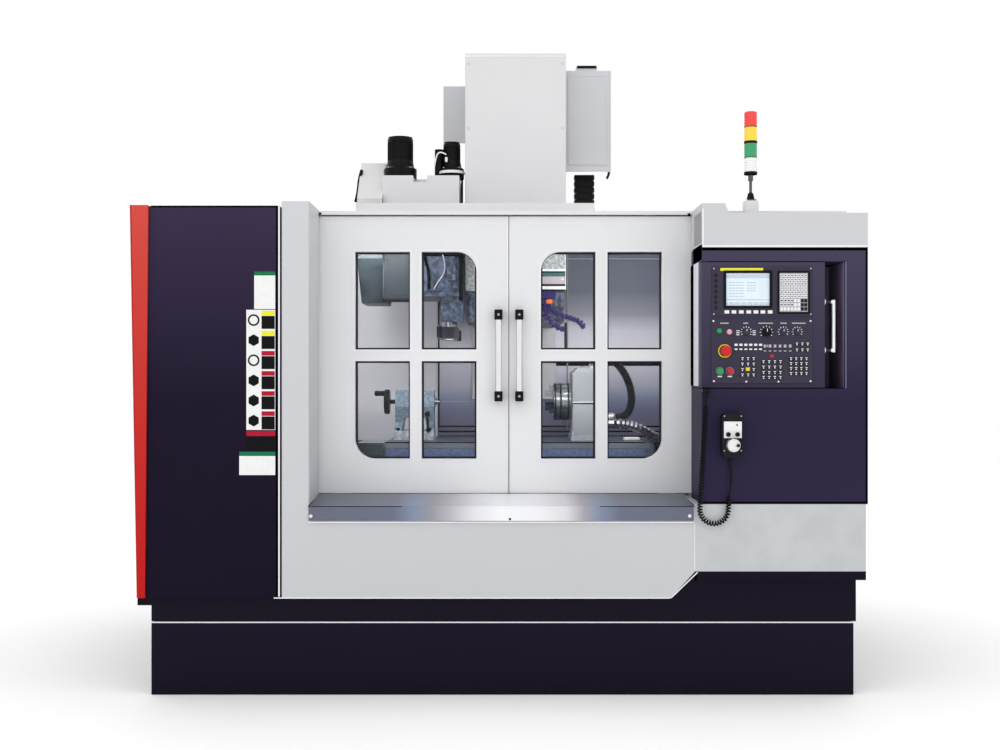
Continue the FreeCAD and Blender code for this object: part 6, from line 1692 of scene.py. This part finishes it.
@dataclass
class Pendant(SubAssembly):
    """Hand wheel pendant and its curly cord."""

    cord_y: float = -1.188
    route: tuple[Pair, ...] = ((0.842, 1.228), (0.842, 1.202), (0.817, 0.784), (0.817, 0.736), (0.851, 0.702),
        (0.899, 0.702), (0.933, 0.736), (0.933, 0.806), (0.943, 0.862), (0.945, 0.918), (0.938, 0.950),
        (0.938, 0.972))
    coil_from: float = 1.194
    coil_to: float = 0.820
    curls: int = 56
    curl_radius: float = 0.0088
    wire: float = 0.006
    length: float = 3.20

    def build(self) -> None:
        """Dress the pendant and add its plate, knobs, dial and cord."""
        self.dress({"pendant_body": Shop.pendant, "handwheel_dial": Shop.black, "cord_gland": Shop.black})
        self.plate()
        self.dial()
        self.cord()

    def plate(self) -> None:
        """White face plate, selector knobs, lamp and housing screws."""
        self.add(Bench.tray("pendant_plate", mm(909, -1221.5, 1051), mm(981, -1219.5, 1118), FRONT, 0.002,
            -0.0004, 0.0006), Shop.key_white_and_highlight)
        for number, x in enumerate((0.9265, 0.9635)):
            self.add(Bench.turned(f"selector_cap_{number}", (x, -1.2215, 1.066), FRONT,
                [(0.0095, -0.0005), (0.0095, 0.005), (0.0082, 0.012), (0.0075, 0.0135), (0.004, 0.0137)], 12),
                Shop.black)
        self.add(Bench.turned("pendant_lamp", (0.962, -1.2214, 1.104), FRONT,
            [(0.0035, 0.0), (0.003, 0.0012), (0.0015, 0.0015)], 16), Shop.ink_black)
        places = [mm(x, -1220, z) for x in (911, 979) for z in (1000, 1140)]
        self.screws("pendant_screw", places, FRONT, 0.003, Shop.bolt, "frame", 0.3)

    def dial(self) -> None:
        """White scale ring with ticks on the hand wheel, its turned rim and crank grip."""
        x, z = 0.947, 1.022
        self.add(Bench.turned("dial_rim", (x, -1.2208, z), FRONT,
            [(0.028, 0.0), (0.0295, 0.002), (0.0295, 0.006), (0.0275, 0.0085), (0.0270, 0.0135)], 40),
            Shop.bright, "pendant_dial")
        self.add(Bench.turned("dial_scale", (x, -1.2346, z), FRONT,
            [(0.0262, 0.0), (0.0262, 0.0012), (0.0245, 0.0018), (0.012, 0.0018)], 40), Shop.key_white_and_highlight,
            "pendant_dial")
        ticks = [Bench.tick("dial_tick", (0.0005, 0.0003, 0.002), 0.0001, (x, -1.2365, z), 0.022,
            math.tau * step / 20) for step in range(20)]
        self.add(ticks, Shop.ink_black, "pendant_dial")
        self.add(Bench.turned("dial_grip", (x + 0.016, -1.236, z), FRONT,
            [(0.0058, 0.0), (0.0066, 0.004), (0.0056, 0.010), (0.0062, 0.0132), (0.003, 0.0139)], 20),
            Shop.black, "pendant_dial")

    def coil_points(self) -> list[Point]:
        """Control points of the curls, thirteen to a turn, closing in on the centre line at both ends."""
        line = Bench.line("pendant_cord_route", [(x, self.cord_y, z) for x, z in self.route], 24)
        reach = [0.0]
        for before, after in zip(line, line[1:]):
            reach.append(reach[-1] + (after - before).length)
        first = next(d for d, spot in zip(reach, line) if spot.z < self.coil_from)
        last = max(d for d, spot in zip(reach, line) if spot.z < self.coil_to and spot.x > 0.90)
        count, ramp = self.curls * 13, 1.3 * (last - first) / self.curls
        points, at = [], 0
        for k in range(count + 1):
            distance = first + (last - first) * k / count
            while reach[at + 1] < distance:
                at += 1
            run = line[at + 1] - line[at]
            spot = line[at] + run * ((distance - reach[at]) / (reach[at + 1] - reach[at]))
            across = run.normalized().cross(Vector(BACK))
            ease = min(1.0, (distance - first) / ramp, (last - distance) / ramp)
            ease = ease * ease * (3 - 2 * ease) * self.curl_radius
            angle = math.tau * self.curls * k / count
            spot = spot + across * (ease * math.cos(angle)) + Vector((0, ease * math.sin(angle), 0))
            points.append(tuple(spot))
        return points

    def cord(self) -> None:
        """The curly cord as one spline, with tapered boots at both ends and a sleeve at the pendant."""
        head = [(x, self.cord_y, z) for x, z in self.route[:2]]
        tail = [(x, self.cord_y, z) for x, z in self.route[-4:]]
        route = [*head, *self.coil_points(), *tail]
        cord = Bench.curve("pendant_curly_cord", route, 2, self.wire / 2, 2)
        bpy.context.collection.objects.link(cord)
        cord.data.materials.append(Shop.cable.material())
        for name, place, way in (("cord_boot_top", route[0], DOWN), ("cord_boot_foot", route[-1], UP)):
            self.add(Bench.turned(name, place, way, [(0.0075, -0.001), (0.0075, 0.004), (0.0060, 0.005),
                (0.0066, 0.009), (0.0052, 0.010), (0.0056, 0.015), (0.0040, 0.020)], 18), Shop.black)
        self.add(Bench.hose("cord_strain_sleeve", tail, 0.0046), Shop.cable)
        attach(cord, "frame")
        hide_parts("pendant_cord")


@dataclass
class SignalTower(SubAssembly):
    """Stack of signal lenses on a pole."""

    x: float = 1.060
    y: float = -1.000

    def build(self) -> None:
        """Dress the tower and add its collars, cap, foot cover and sleeve."""
        self.dress({"signal_pole": Shop.pole, "signal_lenses": Shop.lens})
        black = [Bench.turned("tower_collar", (self.x, self.y, z), UP,
            [(0.0272, 0.0), (0.0278, 0.001), (0.0278, h - 0.001), (0.0272, h)], 36)
            for z, h in ((2.149, 0.012), (2.2185, 0.003), (2.279, 0.011), (2.3475, 0.003))]
        cap = Bench.turned("tower_cap", (self.x, self.y, 2.4085), UP,
            [(0.0268, 0.0), (0.0268, 0.001), (0.024, 0.004), (0.016, 0.006), (0.004, 0.0065)], 36)
        self.add(black, Shop.black)
        self.add(cap, Shop.key_red)
        self.add(Bench.tray("tower_foot_cover", mm(1030, -1028, 1968), mm(1090, -972, 2040), UP, 0.008, 0.004,
            0.008), Shop.head)
        self.add(Bench.turned("tower_sleeve", (self.x, self.y, 2.038), UP,
            [(0.016, 0.0), (0.016, 0.012), (0.012, 0.030), (0.0075, 0.036)]), Shop.black)


@dataclass
class Studio:
    """Pale floor, soft light and the camera in front of the machine."""

    lens: float = 45.9
    place: Point = (0.0045, -6.370, 1.306)

    def build(self) -> None:
        """Set the floor, the lights and the camera."""
        self.floor()
        self.light("key_light", (-2.6, -5.2, 4.6), (0.0, -0.6, 1.2), (4.5, 4.5), 22.0)
        self.light("fill_light", (3.2, -5.4, 3.4), (0.2, -0.6, 1.2), (4.5, 4.5), 14.0)
        self.light("rear_light", (0.0, 5.0, 4.5), (0.0, 0.6, 1.4), (4.5, 4.5), 24.0)
        self.light("overhead_light", (0.0, -1.0, 7.0), (0.0, -0.9, 0.0), (9.0, 9.0), 105.0)
        self.light("work_light_left", (-0.55, -0.79, 1.90), (-0.40, 0.0, 1.25), (0.7, 0.05), 5.5)
        self.light("work_light_right", (0.66, -0.79, 1.90), (0.56, 0.1, 1.10), (0.7, 0.05), 3.6)
        self.light("work_light_low", (0.10, -0.80, 1.38), (0.10, 0.2, 1.25), (1.3, 0.05), 2.6)
        world = bpy.data.worlds.new("studio")
        bpy.context.scene.world = world
        world.use_nodes = True
        world.node_tree.nodes["Background"].inputs["Color"].default_value = (1.0, 1.0, 1.0, 1.0)
        world.node_tree.nodes["Background"].inputs["Strength"].default_value = 1.0
        bpy.context.scene.view_settings.view_transform = "Standard"
        camera = bpy.data.cameras.new("front_camera")
        camera.lens = self.lens
        camera.sensor_width = 36.0
        holder = bpy.data.objects.new("front_camera", camera)
        holder.location = self.place
        holder.rotation_euler = (math.radians(90), 0.0, 0.0)
        bpy.context.collection.objects.link(holder)
        bpy.context.scene.camera = holder

    def floor(self) -> None:
        """A plain pale floor."""
        Bench.clear()
        bpy.ops.mesh.primitive_plane_add(size=30.0, location=(0, 0, -0.001))
        floor = bpy.context.object
        floor.name = "studio_floor"
        graph = Graph("studio_floor_paint")
        graph.set(Base_Color=(0.99, 0.99, 0.99, 1.0), Roughness=0.9)
        floor.data.materials.append(graph.material)

    @staticmethod
    def light(name: str, place: Point, target: Point, size: Pair, power: float) -> None:
        """A soft rectangular light that faces a target."""
        lamp = bpy.data.lights.new(name, "AREA")
        lamp.shape = "RECTANGLE"
        lamp.size, lamp.size_y = size
        lamp.energy = power
        holder = bpy.data.objects.new(name, lamp)
        holder.location = place
        holder.rotation_euler = (Vector(target) - Vector(place)).to_track_quat("-Z", "Y").to_euler()
        bpy.context.collection.objects.link(holder)


def main() -> None:
    """Build the machine's visible detail in order, then the studio."""
    logging.basicConfig(level=logging.INFO, format="%(message)s")
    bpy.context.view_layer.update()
    assemblies: list[SubAssembly] = [Pendant("pendant"), Base("base"), Enclosure("enclosure"), Doors("doors"),
        Head("head"), ToolChanger("tool changer"), Table("table"), Console("console"),
        SignalTower("signal tower")]
    for assembly in assemblies:
        assembly.build()
    Studio().build()


if __name__ == "__main__":
    main()
